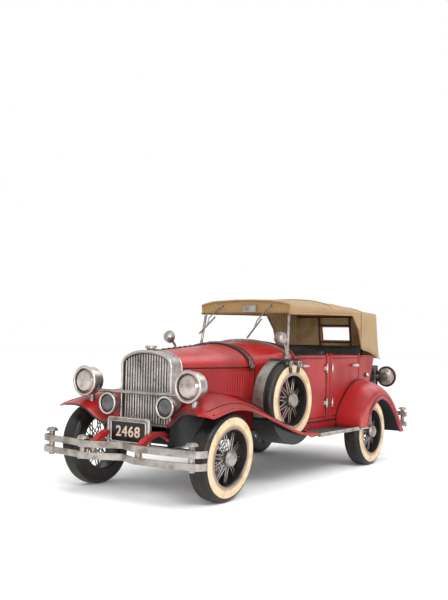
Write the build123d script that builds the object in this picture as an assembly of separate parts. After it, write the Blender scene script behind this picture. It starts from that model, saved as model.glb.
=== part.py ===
from build123d import *
import os
from math import acos, cos, hypot, pi, radians, sin, sqrt

# Toy tin car, a four-door open tourer of the 1930s with a raised canvas top, about 1:12.
# Millimetres. +X is the car's nose, +Y its left side, +Z up, z = 0 the ground,
# and the origin is the middle of the car's footprint.

# ---------------------------------------------------------------- driving dimensions
SHEET = 1.2                 # tin sheet
GAP = 0.5                   # shut line round a door
RUNNING = 0.05              # radial clearance of a shaft in its bush

FRONT_AXLE_X = 150.0
REAR_AXLE_X = -91.0
TYRE_R = 32.0
TYRE_W = 16.0
TYRE_CORNER = 4.5
RIM_R = 21.3
TRACK_HALF = 61.3
CAMBER = 4.3                # the front wheels lean out at the top, in degrees
STUB_R = 1.5
REAR_AXLE_R = 2.0
HUB_R = 4.0

RADIATOR_FRONT_X = 164.0
HOOD_FRONT_X = 152.0
HOOD_REAR_X = 72.0
COWL_REAR_X = 22.0
SEAM_Z = 94.0               # hood hinge line between its top and its louvred sides
BELT_Z = 103.5
BODY_HALF = 47.5
SILL_Z = 37.5
DOOR_LOW_Z = 48.0
FLOOR_Z = 42.0
SEAT_PAN_Z = 58.0
STEP_X = -76.0

PILLAR_FRONT_X = -35.5      # hinge line of the front door
PILLAR_REAR_X = -46.5       # hinge line of the rear door
HINGE_Y = BODY_HALF + 1.2
HINGE_R = 1.1
PIN_R = 0.5
KNUCKLE = 3.6
HINGE_HEIGHTS = (60.5, 92.0)

SPARE_X = 57.0
SPARE_Y = 58.4
SPARE_Z = 68.0
SPARE_TURN = -3.0
BAND_R = 33.4

MODULE = 0.6
BIG_TEETH = 36
SMALL_TEETH = 12
PRESSURE = radians(20)
MESH_DISTANCE = MODULE * (BIG_TEETH + SMALL_TEETH) / 2 + 0.1
BACKLASH = 0.16

RAIL_IN = 19.0
RAIL_OUT = 24.0
RAIL_LOW = 36.0
RAIL_HIGH = 42.0

os.makedirs("parts", exist_ok=True)


# ---------------------------------------------------------------- helpers
def block(x0, x1, y0, y1, z0, z1):
    """Block between two corners."""
    middle = Pos((x0 + x1) / 2, (y0 + y1) / 2, (z0 + z1) / 2)
    return middle * Box(x1 - x0, y1 - y0, z1 - z0)


def rod(start, end, radius):
    """Round bar between two points."""
    direction = Vector(*end) - Vector(*start)
    foot = Plane(origin=start, z_dir=direction)
    return extrude(foot * Circle(radius), direction.length)


def wire_rod(points, radius, bend):
    """Round bar that follows straight runs joined by bends."""
    path = FilletPolyline(*points, radius=bend)
    return sweep(Plane(origin=path @ 0, z_dir=path % 0) * Circle(radius), path=path)


def side_prism(points, y0, y1):
    """Side-view outline, given as (x, z), filled from y0 to y1."""
    face = Plane.XZ * Polygon(*points, align=None)
    return extrude(Pos(0, y0, 0) * face, y1 - y0, dir=(0, 1, 0))


def plan_prism(points, z0, z1):
    """Plan outline, given as (x, y), filled from z0 to z1."""
    return extrude(Pos(0, 0, z0) * Polygon(*points, align=None), z1 - z0, dir=(0, 0, 1))


def mirrored(shape):
    """The same piece on the car's other side."""
    return mirror(shape, about=Plane.XZ)


def both(shape):
    """A piece and its mirror image."""
    return Compound([*shape.solids(), *mirrored(shape).solids()])


def group(*shapes):
    """Separate solids kept in one node."""
    return Compound([solid for shape in shapes for solid in shape.solids()])


def turned(points):
    """Ring or disc from a closed outline of (radius, y), turned about the Y axis."""
    return revolve(Polygon(*points, align=None), Axis.Y)


def arch_face(x, half, z_low, z_spring, z_top):
    """Upright section with straight sides and a half-elliptical top."""
    sides = Polyline((-half, z_spring), (-half, z_low), (half, z_low), (half, z_spring))
    crown = EllipticalCenterArc((0, z_spring), half, z_top - z_spring, start_angle=0, arc_size=180)
    return Pos(x, 0, 0) * (Plane.YZ * make_face([*sides.edges(), *crown.edges()]))


def arch_loft(front, rear):
    """Solid between two arch sections, each given as (x, half, z_low, z_spring, z_top)."""
    return loft([arch_face(*rear), arch_face(*front)], ruled=True)


def arch_slab(x0, x1, half, z_low, z_spring, z_top):
    """Slab of one arch section between two stations."""
    return extrude(arch_face(x0, half, z_low, z_spring, z_top), x1 - x0, dir=(1, 0, 0))


NODES = {}


def keep(name, shape):
    """Store a finished node."""
    NODES[name] = shape
    return shape


# ---------------------------------------------------------------- wheels
def make_tyre():
    """Tyre with flat side walls, centred, its axle along Y."""
    middle = (RIM_R + TYRE_R) / 2
    section = Pos(middle, 0) * Rectangle(TYRE_R - RIM_R, TYRE_W)
    tread_corners = section.vertices().group_by(Axis.X)[-1]
    return revolve(fillet(tread_corners, TYRE_CORNER), Axis.Y)


SPOKE_R = 0.45
SPOKES = 20
HUB_OUT_Y = 6.5
HUB_IN_Y = -6.0


def make_wire_wheel(bore):
    """Rim, hub and two crossed layers of wire spokes in one piece."""
    rim_in = RIM_R - 1.3
    rim = turned([(rim_in, -6.5), (RIM_R, -6.5), (RIM_R, 8.1), (RIM_R - 0.9, 8.1), (rim_in, 6.5)])
    hub = turned([(bore, HUB_IN_Y), (HUB_R, HUB_IN_Y), (HUB_R, HUB_OUT_Y), (bore, HUB_OUT_Y)])
    wheel = rim + hub
    step = 360 / SPOKES
    for count in range(SPOKES):
        lean = 24 if count % 2 else -24
        for hub_y, rim_y, shift in ((5.2, 2.0, 0.0), (-4.8, -2.0, step / 2)):
            a0 = radians(count * step + shift)
            a1 = radians(count * step + shift + lean)
            inner = ((HUB_R - 0.5) * cos(a0), hub_y, (HUB_R - 0.5) * sin(a0))
            outer = ((rim_in + 0.5) * cos(a1), rim_y, (rim_in + 0.5) * sin(a1))
            wheel += rod(inner, outer, SPOKE_R)
    return wheel


def make_hub_cap():
    """Domed cap over the hub's outer end."""
    return turned([(0, 6.55), (5.8, 6.55), (6.0, 7.6), (5.2, 9.4), (3.2, 10.6), (0, 11.0)])


tyre = make_tyre()
free_wheel = make_wire_wheel(STUB_R + RUNNING)
fixed_wheel = make_wire_wheel(REAR_AXLE_R)
hub_cap = make_hub_cap()

camber_drop = (TYRE_R - TYRE_CORNER) * cos(radians(CAMBER)) + TYRE_CORNER
FRONT_AXLE_Z = camber_drop + (TYRE_W / 2 - TYRE_CORNER) * sin(radians(CAMBER))
front_place = Pos(FRONT_AXLE_X, TRACK_HALF, FRONT_AXLE_Z) * Rot(-CAMBER, 0, 0)
rear_place = Pos(REAR_AXLE_X, TRACK_HALF, TYRE_R)
spare_place = Pos(SPARE_X, SPARE_Y, SPARE_Z) * Rot(0, 0, SPARE_TURN)

for suffix, piece in (("tyre", tyre), ("wire_wheel", free_wheel), ("hub_cap", hub_cap)):
    keep("front_left_" + suffix, front_place * piece)
    keep("front_right_" + suffix, mirrored(front_place * piece))
for suffix, piece in (("tyres", tyre), ("wire_wheels", fixed_wheel), ("hub_caps", hub_cap)):
    keep("rear_" + suffix, both(rear_place * piece))
    keep("spare_" + suffix, both(spare_place * piece))


# ---------------------------------------------------------------- chassis and front axle
CROSS_MEMBERS = ((-153, -147), (-139, -133), (-77, -72), (-22, -16), (40, 46), (96, 102), (146, 154))


def make_chassis():
    """Two rails and the members across them."""
    rail = block(-153, 160, RAIL_IN, RAIL_OUT, RAIL_LOW, RAIL_HIGH)
    chassis = rail + mirrored(rail)
    for x0, x1 in CROSS_MEMBERS:
        chassis += block(x0, x1, -RAIL_IN, RAIL_IN, RAIL_LOW + 0.8, RAIL_HIGH - 0.8)
    return chassis


def make_frame_horns():
    """Curved front ends of the rails, which carry the bumper."""
    line = Spline((160, 41.5), (170, 46.3), (180, 46.6), (190, 42.6), (196.5, 38.2))
    horn = extrude(Pos(0, 19, 0) * (Plane.XZ * trace(line, 3.4)), 5, dir=(0, 1, 0))
    knob = rod((195.3, 21.5, 31.5), (195.3, 21.5, 38.5), 2.6)
    return both((horn + knob) - NODES["chassis_rails"])


def make_front_axle():
    """Beam under the rails with a leaning stub axle for each front wheel."""
    beam = block(FRONT_AXLE_X - 3, FRONT_AXLE_X + 3, -49.6, 49.6, 30.4, 34.4)
    stub = rod((0, -9.8, 0), (0, HUB_OUT_Y - 0.6, 0), STUB_R)
    shoulder = rod((0, -12.5, 0), (0, HUB_IN_Y - 0.3, 0), 3.2)
    end = front_place * (stub + shoulder)
    spring = block(FRONT_AXLE_X - 14, FRONT_AXLE_X + 14, 19.6, 23.4, 34.4, RAIL_LOW)
    side = end + spring
    return beam + side + mirrored(side)


keep("chassis_rails", make_chassis())
keep("frame_horns", make_frame_horns())
keep("front_axle", make_front_axle())


# ---------------------------------------------------------------- friction drive
def involute(radius, base):
    """Angle that an involute has turned through at a radius."""
    return sqrt((radius / base) ** 2 - 1) - acos(base / radius)


def make_gear(teeth, bore, y0, y1, turn):
    """Spur gear about the Y axis, with one tooth pointing at the angle turn in the XZ plane."""
    pitch = MODULE * teeth / 2
    base = pitch * cos(PRESSURE)
    tip = pitch + 0.85 * MODULE
    root = pitch - 1.25 * MODULE
    half = pi / (2 * teeth) - BACKLASH / (2 * pitch)
    start = max(base, root)
    radii = [start + (tip - start) * step / 3 for step in range(4)]
    flank = [(radius, half + involute(pitch, base) - involute(radius, base)) for radius in radii]
    flank = [(root, flank[0][1])] + flank
    points = []
    for tooth in range(teeth):
        centre = turn + 2 * pi * tooth / teeth
        points += [(radius * cos(centre - a), radius * sin(centre - a)) for radius, a in flank]
        points += [(radius * cos(centre + a), radius * sin(centre + a)) for radius, a in reversed(flank)]
    return side_prism(points, y0, y1) - rod((0, y0 - 1, 0), (0, y1 + 1, 0), bore)


IDLER_ANGLE = radians(140)
FLYWHEEL_ANGLE = radians(175)
AXLE_AT = (REAR_AXLE_X, TYRE_R)
IDLER_AT = (
    AXLE_AT[0] + MESH_DISTANCE * cos(IDLER_ANGLE),
    AXLE_AT[1] + MESH_DISTANCE * sin(IDLER_ANGLE),
)
FLYWHEEL_AT = (
    IDLER_AT[0] + MESH_DISTANCE * cos(FLYWHEEL_ANGLE),
    IDLER_AT[1] + MESH_DISTANCE * sin(FLYWHEEL_ANGLE),
)
IDLER_SHAFT_R = 1.2
FLYWHEEL_SHAFT_R = 1.2
FLYWHEEL_R = 11.5
MOTOR_HALF = 10.0


def at_shaft(place, shape):
    """Move a shape made about the Y axis to a shaft."""
    return Pos(place[0], 0, place[1]) * shape


def make_rear_axle():
    """Axle that both rear wheels and the driven gear are fixed to."""
    return rod((0, -TRACK_HALF - 6.4, 0), (0, TRACK_HALF + 6.4, 0), REAR_AXLE_R)


def make_idler():
    """Shaft with a small gear on the axle gear and a large gear on the flywheel pinion."""
    shaft = rod((0, -MOTOR_HALF - 0.8, 0), (0, MOTOR_HALF + 0.8, 0), IDLER_SHAFT_R)
    small = make_gear(SMALL_TEETH, 0.6, 3.2, 6.8, IDLER_ANGLE + pi + pi / SMALL_TEETH)
    large = make_gear(BIG_TEETH, 0.6, -1.2, 1.2, FLYWHEEL_ANGLE)
    return shaft + small + large


def make_flywheel_shaft():
    """Shaft with the last pinion cut on it."""
    shaft = rod((0, -MOTOR_HALF - 0.8, 0), (0, MOTOR_HALF + 0.8, 0), FLYWHEEL_SHAFT_R)
    return shaft + make_gear(SMALL_TEETH, 0.6, -1.8, 1.8, FLYWHEEL_ANGLE + pi + pi / SMALL_TEETH)


def make_flywheel():
    """Heavy disc with a thick rim and a hub."""
    return turned([(FLYWHEEL_SHAFT_R, -7.4), (3.2, -7.4), (3.2, -6.6), (8.5, -6.6), (8.5, -8.2),
                   (FLYWHEEL_R, -8.2), (FLYWHEEL_R, -3.0), (8.5, -3.0), (8.5, -5.2), (3.2, -5.2),
                   (3.2, -2.6), (FLYWHEEL_SHAFT_R, -2.6)])


def make_motor_frame():
    """Two side plates with bushes for the three shafts, tied together at their ends."""
    outline = [(-133, 37), (-133, 52), (-126, 56), (-108, 56), (-84, 42), (-77, 40), (-77, 29),
               (-97, 25), (-112, 31)]
    plate = side_prism(outline, MOTOR_HALF - 1.2, MOTOR_HALF)
    frame = plate + mirrored(plate)
    frame += block(-133, -131.8, -MOTOR_HALF, MOTOR_HALF, 38, 51)
    frame += block(-78.2, -77, -MOTOR_HALF, MOTOR_HALF, 36.5, 39.5)
    shafts = ((AXLE_AT, REAR_AXLE_R), (IDLER_AT, IDLER_SHAFT_R), (FLYWHEEL_AT, FLYWHEEL_SHAFT_R))
    for place, radius in shafts:
        bush = rod((0, MOTOR_HALF - 2, 0), (0, MOTOR_HALF + 1, 0), radius + 1)
        frame += at_shaft(place, bush + mirrored(bush))
    for place, radius in shafts:
        bore = rod((0, -MOTOR_HALF - 3, 0), (0, MOTOR_HALF + 3, 0), radius + RUNNING)
        frame -= at_shaft(place, bore)
    return frame


keep("rear_axle", at_shaft(AXLE_AT, make_rear_axle()))
keep("axle_gear", at_shaft(AXLE_AT, make_gear(BIG_TEETH, REAR_AXLE_R, 3.8, 6.2, IDLER_ANGLE)))
keep("idler_gears", at_shaft(IDLER_AT, make_idler()))
keep("flywheel_shaft", at_shaft(FLYWHEEL_AT, make_flywheel_shaft()))
keep("flywheel", at_shaft(FLYWHEEL_AT, make_flywheel()))
keep("motor_frame", make_motor_frame())


# ---------------------------------------------------------------- hood, radiator and cowl
RADIATOR_FRONT = (RADIATOR_FRONT_X, 23.8, 51.0, 96.0, 106.4)
RADIATOR_REAR = (HOOD_FRONT_X, 25.2, 51.0, 95.0, 107.2)
HOOD_FRONT = (HOOD_FRONT_X, 25.0, SEAM_Z - 0.3, SEAM_Z, 106.8)
HOOD_REAR = (HOOD_REAR_X, 38.0, SEAM_Z - 0.3, SEAM_Z, 113.3)
COWL_FRONT = (HOOD_REAR_X, 38.0, 44.0, SEAM_Z, 113.3)
COWL_REAR = (COWL_REAR_X, 47.2, 44.0, 102.0, 116.0)


def blend_section(front, rear, x):
    """Arch section at x, between two given ones."""
    share = (x - front[0]) / (rear[0] - front[0])
    return tuple(a + (b - a) * share for a, b in zip(front, rear))


def make_radiator_shell():
    """Plated surround of the grille, open through its middle."""
    outer = arch_loft(RADIATOR_FRONT, RADIATOR_REAR)
    front = (RADIATOR_FRONT_X + 1, 22.2, 52.4, 96.0, 104.8)
    rear = (HOOD_FRONT_X + SHEET, 22.2, 52.4, 96.0, 104.8)
    return outer - arch_loft(front, rear)


def make_grille_bars():
    """Row of upright half-round bars behind the radiator's lip."""
    bars = []
    count = 17
    pitch = 2.55
    for number in range(count):
        y = (number - (count - 1) / 2) * pitch
        top = 96.0 + 8.6 * sqrt(1 - (y / 22.4) ** 2)
        bars.append(rod((162.3, y, 52.5), (162.3, y, top - 0.6), 1.0))
    backing = arch_slab(160.6, 161.3, 22.1, 52.5, 96.0, 104.7)
    return group(backing, *bars)


def make_radiator_cap():
    """Filler cap with a flat knurled top."""
    cap = Pos(158.5, 0, 107.0) * extrude(Circle(3.2), 1.4)
    top = Pos(158.5, 0, 108.4) * extrude(RegularPolygon(4.4, 12), 2.0)
    return cap + top


def make_hood_top():
    """Tapering upper hood from the radiator to the cowl."""
    outer = arch_loft(HOOD_FRONT, HOOD_REAR)
    inner_front = (HOOD_FRONT_X + 1, 25.0 - SHEET, SEAM_Z - 1, SEAM_Z, 106.8 - SHEET)
    inner_rear = (HOOD_REAR_X - 1, 38.0 - SHEET, SEAM_Z - 1, SEAM_Z, 113.3 - SHEET)
    return outer - arch_loft(inner_front, inner_rear)


LOUVRES = 27


def make_hood_side():
    """Left hood side with a row of upright pressed louvres."""
    slope = (38.0 - 25.0) / (HOOD_FRONT_X - HOOD_REAR_X)
    corners = [(HOOD_FRONT_X, 25.0), (HOOD_REAR_X, 38.0), (HOOD_REAR_X, 38.0 - SHEET),
               (HOOD_FRONT_X, 25.0 - SHEET)]
    panel = plan_prism(corners, 60.5, SEAM_Z - 0.4)
    for number in range(LOUVRES):
        x = 148.0 - number * 2.8
        y = 25.0 + slope * (HOOD_FRONT_X - x)
        low = 66.0 + 0.1525 * (x - 71) + 2.0
        fin = plan_prism([(x, y - 0.6), (x - 1.9, y + 0.9), (x - 1.9, y - 0.6)], max(low, 67), 91.5)
        panel += fin
    return panel


def make_cowl():
    """Scuttle from the hood to the front doors, with the dash across its rear end."""
    outer = arch_loft(COWL_FRONT, COWL_REAR)
    inner = arch_loft(
        (HOOD_REAR_X + 1, 38.0 - SHEET - 0.1, 43.0, SEAM_Z, 113.3 - SHEET),
        (COWL_REAR_X - 1, 47.2 - SHEET + 0.1, 43.0, 102.0, 116.0 - SHEET),
    )
    firewall = block(HOOD_REAR_X - 3, HOOD_REAR_X - 1.8, -60, 60, 40, 120)
    dash = block(COWL_REAR_X + 0.3, COWL_REAR_X + 1.8, -60, 60, 84, 120)
    return outer - (inner - firewall - dash)


radiator_shell = keep("radiator_shell", make_radiator_shell())
keep("grille_bars", make_grille_bars())
keep("radiator_cap", make_radiator_cap() - radiator_shell)
keep("hood_top", make_hood_top())
keep("hood_sides", both(make_hood_side()))
cowl = keep("cowl", make_cowl())


# ---------------------------------------------------------------- body tub and doors
def body_plan(z, rear_x, wall, front_x):
    """Plan of the body at one height: straight sides that draw in to a rounded tail."""
    half = BODY_HALF - wall
    tail = half - 1.8
    outline = Polygon((front_x, -half), (front_x, half), (-105, half), (rear_x + wall, tail),
                      (rear_x + wall, -tail), (-105, -half), align=None)
    corners = outline.vertices().group_by(Axis.X)[0]
    return Pos(0, 0, z) * fillet(corners, 9 - wall)


def body_loft(wall, low, high, front_x):
    """Body as a stack of three plans, the tail leaning back as it rises."""
    lower = loft([body_plan(low, -134, wall, front_x), body_plan(78, -142, wall, front_x)], ruled=True)
    upper = loft([body_plan(78, -142, wall, front_x), body_plan(high, -152.6, wall, front_x)], ruled=True)
    return lower + upper


FRONT_DOOR = [(18.0, DOOR_LOW_Z), (18.0, BELT_Z - 0.3), (PILLAR_FRONT_X + GAP / 2, BELT_Z - 0.3),
              (PILLAR_FRONT_X + GAP / 2, DOOR_LOW_Z)]
REAR_DOOR = [(PILLAR_REAR_X - GAP / 2, DOOR_LOW_Z), (PILLAR_REAR_X - GAP / 2, BELT_Z - 0.3),
             (-104.6, BELT_Z - 0.3), (-104.6, 82.2), (-92.0, 78.6), (-80.0, 73.0), (-69.4, 65.4),
             (-60.2, 56.0), (-56.4, DOOR_LOW_Z)]


def make_hinge_parts(hinge_x, towards_door):
    """Hinge halves of one left door: the pillar's, with its pin, and the door's."""
    pillar_half = []
    door_half = []
    for z in HINGE_HEIGHTS:
        half = KNUCKLE / 2
        end = half + 0.15
        pin = rod((hinge_x, HINGE_Y, z - end - 2), (hinge_x, HINGE_Y, z + end + 2), PIN_R)
        for sign in (-1, 1):
            low = min(z + sign * end, z + sign * (end + 2))
            pin += rod((hinge_x, HINGE_Y, low), (hinge_x, HINGE_Y, low + 2), HINGE_R)
            leaf_x = sorted((hinge_x, hinge_x - towards_door * 3.6))
            leaf = block(leaf_x[0], leaf_x[1], BODY_HALF, BODY_HALF + 0.6, low, low + 2)
            pin += leaf
        pillar_half.append(pin)
        knuckle = rod((hinge_x, HINGE_Y, z - half), (hinge_x, HINGE_Y, z + half), HINGE_R)
        leaf_x = sorted((hinge_x, hinge_x + towards_door * 3.6))
        knuckle += block(leaf_x[0], leaf_x[1], BODY_HALF, BODY_HALF + 0.6, z - half, z + half)
        bore = rod((hinge_x, HINGE_Y, z - half - 1), (hinge_x, HINGE_Y, z + half + 1), PIN_R + RUNNING)
        door_half.append(knuckle - bore)
    return pillar_half, door_half


def make_door(outline, door_half):
    """Door skin with its hinge leaves."""
    panel = side_prism(outline, BODY_HALF - SHEET, BODY_HALF)
    for leaf in door_half:
        panel += leaf
    return panel


def make_handle(x, towards, z):
    """Lever handle on a round boss."""
    boss = rod((x, BODY_HALF, z), (x, BODY_HALF + 2.2, z), 1.5)
    cone = Cone(1.7, 1.0, 11, align=(Align.CENTER, Align.CENTER, Align.MIN))
    lever = Pos(x, BODY_HALF + 2.9, z) * Rot(0, 90 * towards, 0) * cone
    return boss + lever


def grown(outline, margin):
    """A door outline with a margin all round."""
    return offset(Polygon(*outline, align=None), margin, kind=Kind.INTERSECTION)


def make_body_tub():
    """Body sides, sills, pillars, rear panel and tail, with four doorways."""
    tub = body_loft(0, SILL_Z, BELT_Z, COWL_REAR_X - 0.1)
    tub -= body_loft(SHEET, SILL_Z - 1, BELT_Z + 1, COWL_REAR_X + 5)
    for outline in (FRONT_DOOR, REAR_DOOR):
        doorway = extrude(Pos(0, -60, 0) * (Plane.XZ * grown(outline, GAP)), 120, dir=(0, 1, 0))
        tub -= doorway
    top = block(-104.6, COWL_REAR_X + 5, -60, 60, BELT_Z - 1, BELT_Z + 5)
    pillar = block(-46.2, -35.8, -60, 60, BELT_Z - 2, BELT_Z + 5)
    front_post = block(18.6, COWL_REAR_X + 5, -60, 60, BELT_Z - 2, BELT_Z + 5)
    over_rails = block(-140, -120, -RAIL_OUT - 0.2, RAIL_OUT + 0.2, SILL_Z - 1, RAIL_HIGH + 0.2)
    return tub - (top - pillar - front_post) - over_rails


front_pillar_hinges, front_door_hinges = make_hinge_parts(PILLAR_FRONT_X, 1)
rear_pillar_hinges, rear_door_hinges = make_hinge_parts(PILLAR_REAR_X, -1)
front_door = make_door(FRONT_DOOR, front_door_hinges) + make_handle(14.0, -1, 94.6)
rear_door = make_door(REAR_DOOR, rear_door_hinges) + make_handle(-97.0, 1, 94.0)

for side, place in (("left", lambda shape: shape), ("right", mirrored)):
    keep("front_" + side + "_door", place(front_door))
    keep("rear_" + side + "_door", place(rear_door))
keep("door_hinges", both(group(*front_pillar_hinges, *rear_pillar_hinges)))
keep("body_tub", make_body_tub())


def make_floor():
    """Floor with a step up to the seat pan over the friction drive."""
    half = BODY_HALF - SHEET - 0.1
    front = block(STEP_X, COWL_REAR_X - 0.2, -half, half, FLOOR_Z, FLOOR_Z + 1)
    nose = block(COWL_REAR_X - 0.2, 66, -36, 36, FLOOR_Z, FLOOR_Z + 1)
    riser = block(STEP_X, STEP_X + 1, -half, half, FLOOR_Z + 1, SEAT_PAN_Z)
    rear = block(-131, STEP_X + 1, -half + 2, half - 2, SEAT_PAN_Z, SEAT_PAN_Z + 1)
    return front + nose + riser + rear


keep("floor_pan", make_floor())


# ---------------------------------------------------------------- fenders and running boards
FENDER_SHEET = 1.4          # measured straight down, on surfaces that slope
FENDER_STATIONS = [
    (184, [(23, 53.6), (31, 57.0), (39, 61.0), (50, 63.9), (60, 64.4), (69, 63.4), (74, 62.2)]),
    (166, [(25.4, 55.4), (32, 58.4), (41, 64.6), (51, 69.4), (61, 69.4), (69, 67.2), (74, 65.4)]),
    (149, [(26.2, 66.6), (33, 71.2), (42, 74.2), (52, 74.0), (62, 71.8), (69, 69.0), (73, 67.2)]),
    (130, [(29.2, 73.0), (36, 74.8), (44, 75.0), (53, 73.6), (62, 70.6), (68, 67.6), (72, 65.3)]),
    (110, [(32.4, 71.6), (39, 71.9), (46, 71.0), (54, 68.8), (62, 65.4), (68, 62.2), (72, 60.0)]),
    (85, [(36.6, 66.4), (42, 65.8), (48, 64.0), (55, 61.2), (62, 57.6), (68, 54.2), (72, 51.8)]),
    (60, [(41.2, 58.4), (45, 57.0), (50, 54.8), (56, 51.8), (62, 48.8), (68, 45.8), (72, 43.9)]),
    (40, [(44.6, 49.6), (48, 48.4), (53, 46.8), (58, 45.0), (63, 43.2), (68, 41.4), (72, 40.2)]),
    (20.5, [(48.0, 39.6), (51, 39.3), (56, 38.9), (61, 38.6), (65, 38.4), (69, 38.3), (72, 38.2)]),
]


def fender_volume(drop, rise):
    """Solid between the front fender's surface lowered by drop and raised by rise."""
    faces = []
    for x, outline in FENDER_STATIONS:
        upper = Spline(*[(x, y, z + rise) for y, z in outline])
        lower = Spline(*[(x, y, z - drop) for y, z in reversed(outline)])
        edges = [upper, Line(upper @ 1, lower @ 0), lower, Line(lower @ 1, upper @ 0)]
        faces.append(make_face(edges))
    return loft(faces)


def spare_ring(radius, y0, y1):
    """Disc about the left spare wheel's axle."""
    return spare_place * rod((0, y0, 0), (0, y1, 0), radius)


WELL_R = BAND_R + 0.5
well_space = spare_ring(WELL_R, -9.8, 8.8)


def make_front_fender():
    """Left front fender: a swept wing with a slot for the spare wheel."""
    fender = fender_volume(FENDER_SHEET, 0) - well_space
    nose_line = [(164.5, 18), (168, 24), (175, 31), (179, 40), (182, 52), (183, 63), (180.5, 71), (176, 80),
                 (190, 80), (190, 18)]
    return fender - plan_prism(nose_line, 40, 90)


def make_spare_well():
    """Left trough that the spare wheel stands in, hanging under the fender."""
    trough = spare_ring(WELL_R + SHEET, -11.0, 10.0) - well_space
    return trough - fender_volume(FENDER_SHEET + 0.05, 60) - block(0, 120, 30, 90, 54, 120)


def make_fender_skirt():
    """Left inner wall between the rail and the front fender."""
    return side_prism([(90, 37), (166, 37), (166, 51.4), (153, 61.0), (153, 60), (90, 60)], 25.4, 26.4)


REAR_ARCH = [(-56.2, SILL_Z), (-56.8, 46.0), (-61.4, 54.8), (-70.0, 63.6), (-80.0, 71.2), (-92.0, 77.0),
             (-105.0, 79.7), (-118.0, 78.2), (-131.0, 72.2), (-143.0, 61.6), (-153.0, 46.5), (-160.5, 27.0)]
REAR_ARCH_OUT = [(-58.6, SILL_Z), (-59.4, 44.0), (-64.2, 50.9), (-73.5, 57.5), (-83.0, 62.8), (-93.5, 66.3),
                 (-105.0, 67.6), (-116.5, 66.2), (-128.5, 61.0), (-140.5, 51.5), (-152.0, 38.5),
                 (-162.0, 26.6)]


def arch_outline(share, wall):
    """Closed side outline of the rear fender, between the seam (0) and the outer face (1)."""
    points = [(a[0] + (b[0] - a[0]) * share, a[1] + (b[1] - a[1]) * share)
              for a, b in zip(REAR_ARCH, REAR_ARCH_OUT)]
    if wall:
        moved = []
        for number, point in enumerate(points):
            before = points[max(number - 1, 0)]
            after = points[min(number + 1, len(points) - 1)]
            run = hypot(after[0] - before[0], after[1] - before[1])
            normal = ((after[1] - before[1]) / run, -(after[0] - before[0]) / run)
            moved.append((point[0] - normal[0] * wall, point[1] - normal[1] * wall))
        points = moved
    return points


def rear_fender_volume(wall, y_in, y_out):
    """Filled rear fender that narrows outwards, less a wall."""
    faces = []
    steps = 6
    for number in range(steps + 1):
        u = sin(pi / 2 * number / steps)
        y = y_in + (y_out - y_in) * u
        share = 1 - (1 - min(u, 1) ** 1.7) ** (1 / 1.7)
        points = arch_outline(share, wall)
        curve = Spline(*[(x, y, z) for x, z in points])
        first = curve @ 0
        last = curve @ 1
        base = Polyline(last, (last.X, y, 20.0), (first.X, y, 20.0), first)
        faces.append(make_face([curve, *base.edges()]))
    return loft(faces)


def make_rear_fender():
    """Left rear fender, open below, inside and over the wheel."""
    outer = rear_fender_volume(0, BODY_HALF + 0.15, 72.4)
    inner = rear_fender_volume(SHEET, BODY_HALF + 0.10, 71.2)
    shell = outer - inner
    wheel_arch = [(-74, 20), (-74, 40), (-76.5, 46), (-81, 51.5), (-88, 57), (-96, 61), (-105, 62.8),
                  (-115, 61.2), (-127, 55.5), (-139, 45), (-150, 31), (-157, 20)]
    shell -= side_prism(wheel_arch, 66, 80)
    shell -= block(-170, -50, 40, 80, 10, 26.5)
    under_sill = [(-50, 10), (-50, SILL_Z), (-100, SILL_Z), (-150, 26.4), (-150, 10)]
    return shell - side_prism(under_sill, 40, 80)


def make_running_board():
    """Left running board with a raised edge and its arms to the rail."""
    board = block(-55.6, 20.3, BODY_HALF + 0.1, 70.6, 36.6, 38.0)
    edge = block(-55.6, 20.3, 70.6, 72.2, 35.9, 38.6) + block(-77, -55.6, 70.6, 72.2, 35.9, 37.3)
    arms = [block(x - 2.5, x + 2.5, RAIL_OUT, 66, 35.2, 36.6) for x in (8, -18, -44)]
    return board + edge + arms[0] + arms[1] + arms[2]


keep("front_fenders", both(make_front_fender()))
keep("fender_inner_panels", both(group(make_spare_well(), make_fender_skirt())))
keep("rear_fenders", both(make_rear_fender()))
keep("running_boards", both(make_running_board()))


# ---------------------------------------------------------------- spare wheel fittings
def make_spare_band():
    """Left metal band round the inner half of the spare tyre's tread."""
    return spare_ring(BAND_R, -8.6, 1.0) - spare_ring(TYRE_R + 0.15, -9.6, 2.0)


def make_spare_mount():
    """Left bracket from the scuttle side to the spare wheel's hub."""
    arm = spare_place * rod((0, -16.5, 0), (0, HUB_OUT_Y - 0.4, 0), REAR_AXLE_R)
    plate = spare_place * rod((0, -12.5, 0), (0, HUB_IN_Y - 0.2, 0), 5.0)
    return (arm + plate) - arch_loft(COWL_FRONT, COWL_REAR)


def make_spare_straps():
    """Two left leather straps over the spare tyre and down its outer face."""
    straps = []
    for turn in (-13, 13):
        outer = block(-1.7, 1.7, -9.8, 9.3, 23.0, BAND_R + 1.0)
        space = block(-3, 3, -8.9, 8.4, 20.0, BAND_R + 0.1)
        straps.append(spare_place * Rot(0, turn, 0) * (outer - space))
    return group(*straps)


def make_side_mirror():
    """Left mirror on a stand above the spare tyre."""
    foot = rod((54.6, 57.4, SPARE_Z + BAND_R + 0.1), (54.6, 57.4, SPARE_Z + BAND_R + 2.0), 2.6)
    stand = wire_rod([(54.6, 57.4, 103.2), (55.6, 57.4, 110.5), (64.0, 57.4, 118.0)], 1.1, 4)
    shell = turned([(0, -2.2), (5.6, -2.2), (5.6, -1.2), (4.4, 1.6), (2.4, 3.2), (0, 3.8)])
    head = Pos(65.5, 57.4, 118.0) * Rot(0, 0, -90) * shell
    return foot + stand + head


keep("spare_bands", both(make_spare_band()))
keep("spare_mounts", both(make_spare_mount()))
keep("spare_straps", both(make_spare_straps()))
keep("side_mirrors", both(make_side_mirror()))


# ---------------------------------------------------------------- lamps
LAMP_X = 177.4
LAMP_Y = 49.9
LAMP_Z = 82.3
LAMP_R = 11.3


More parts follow.
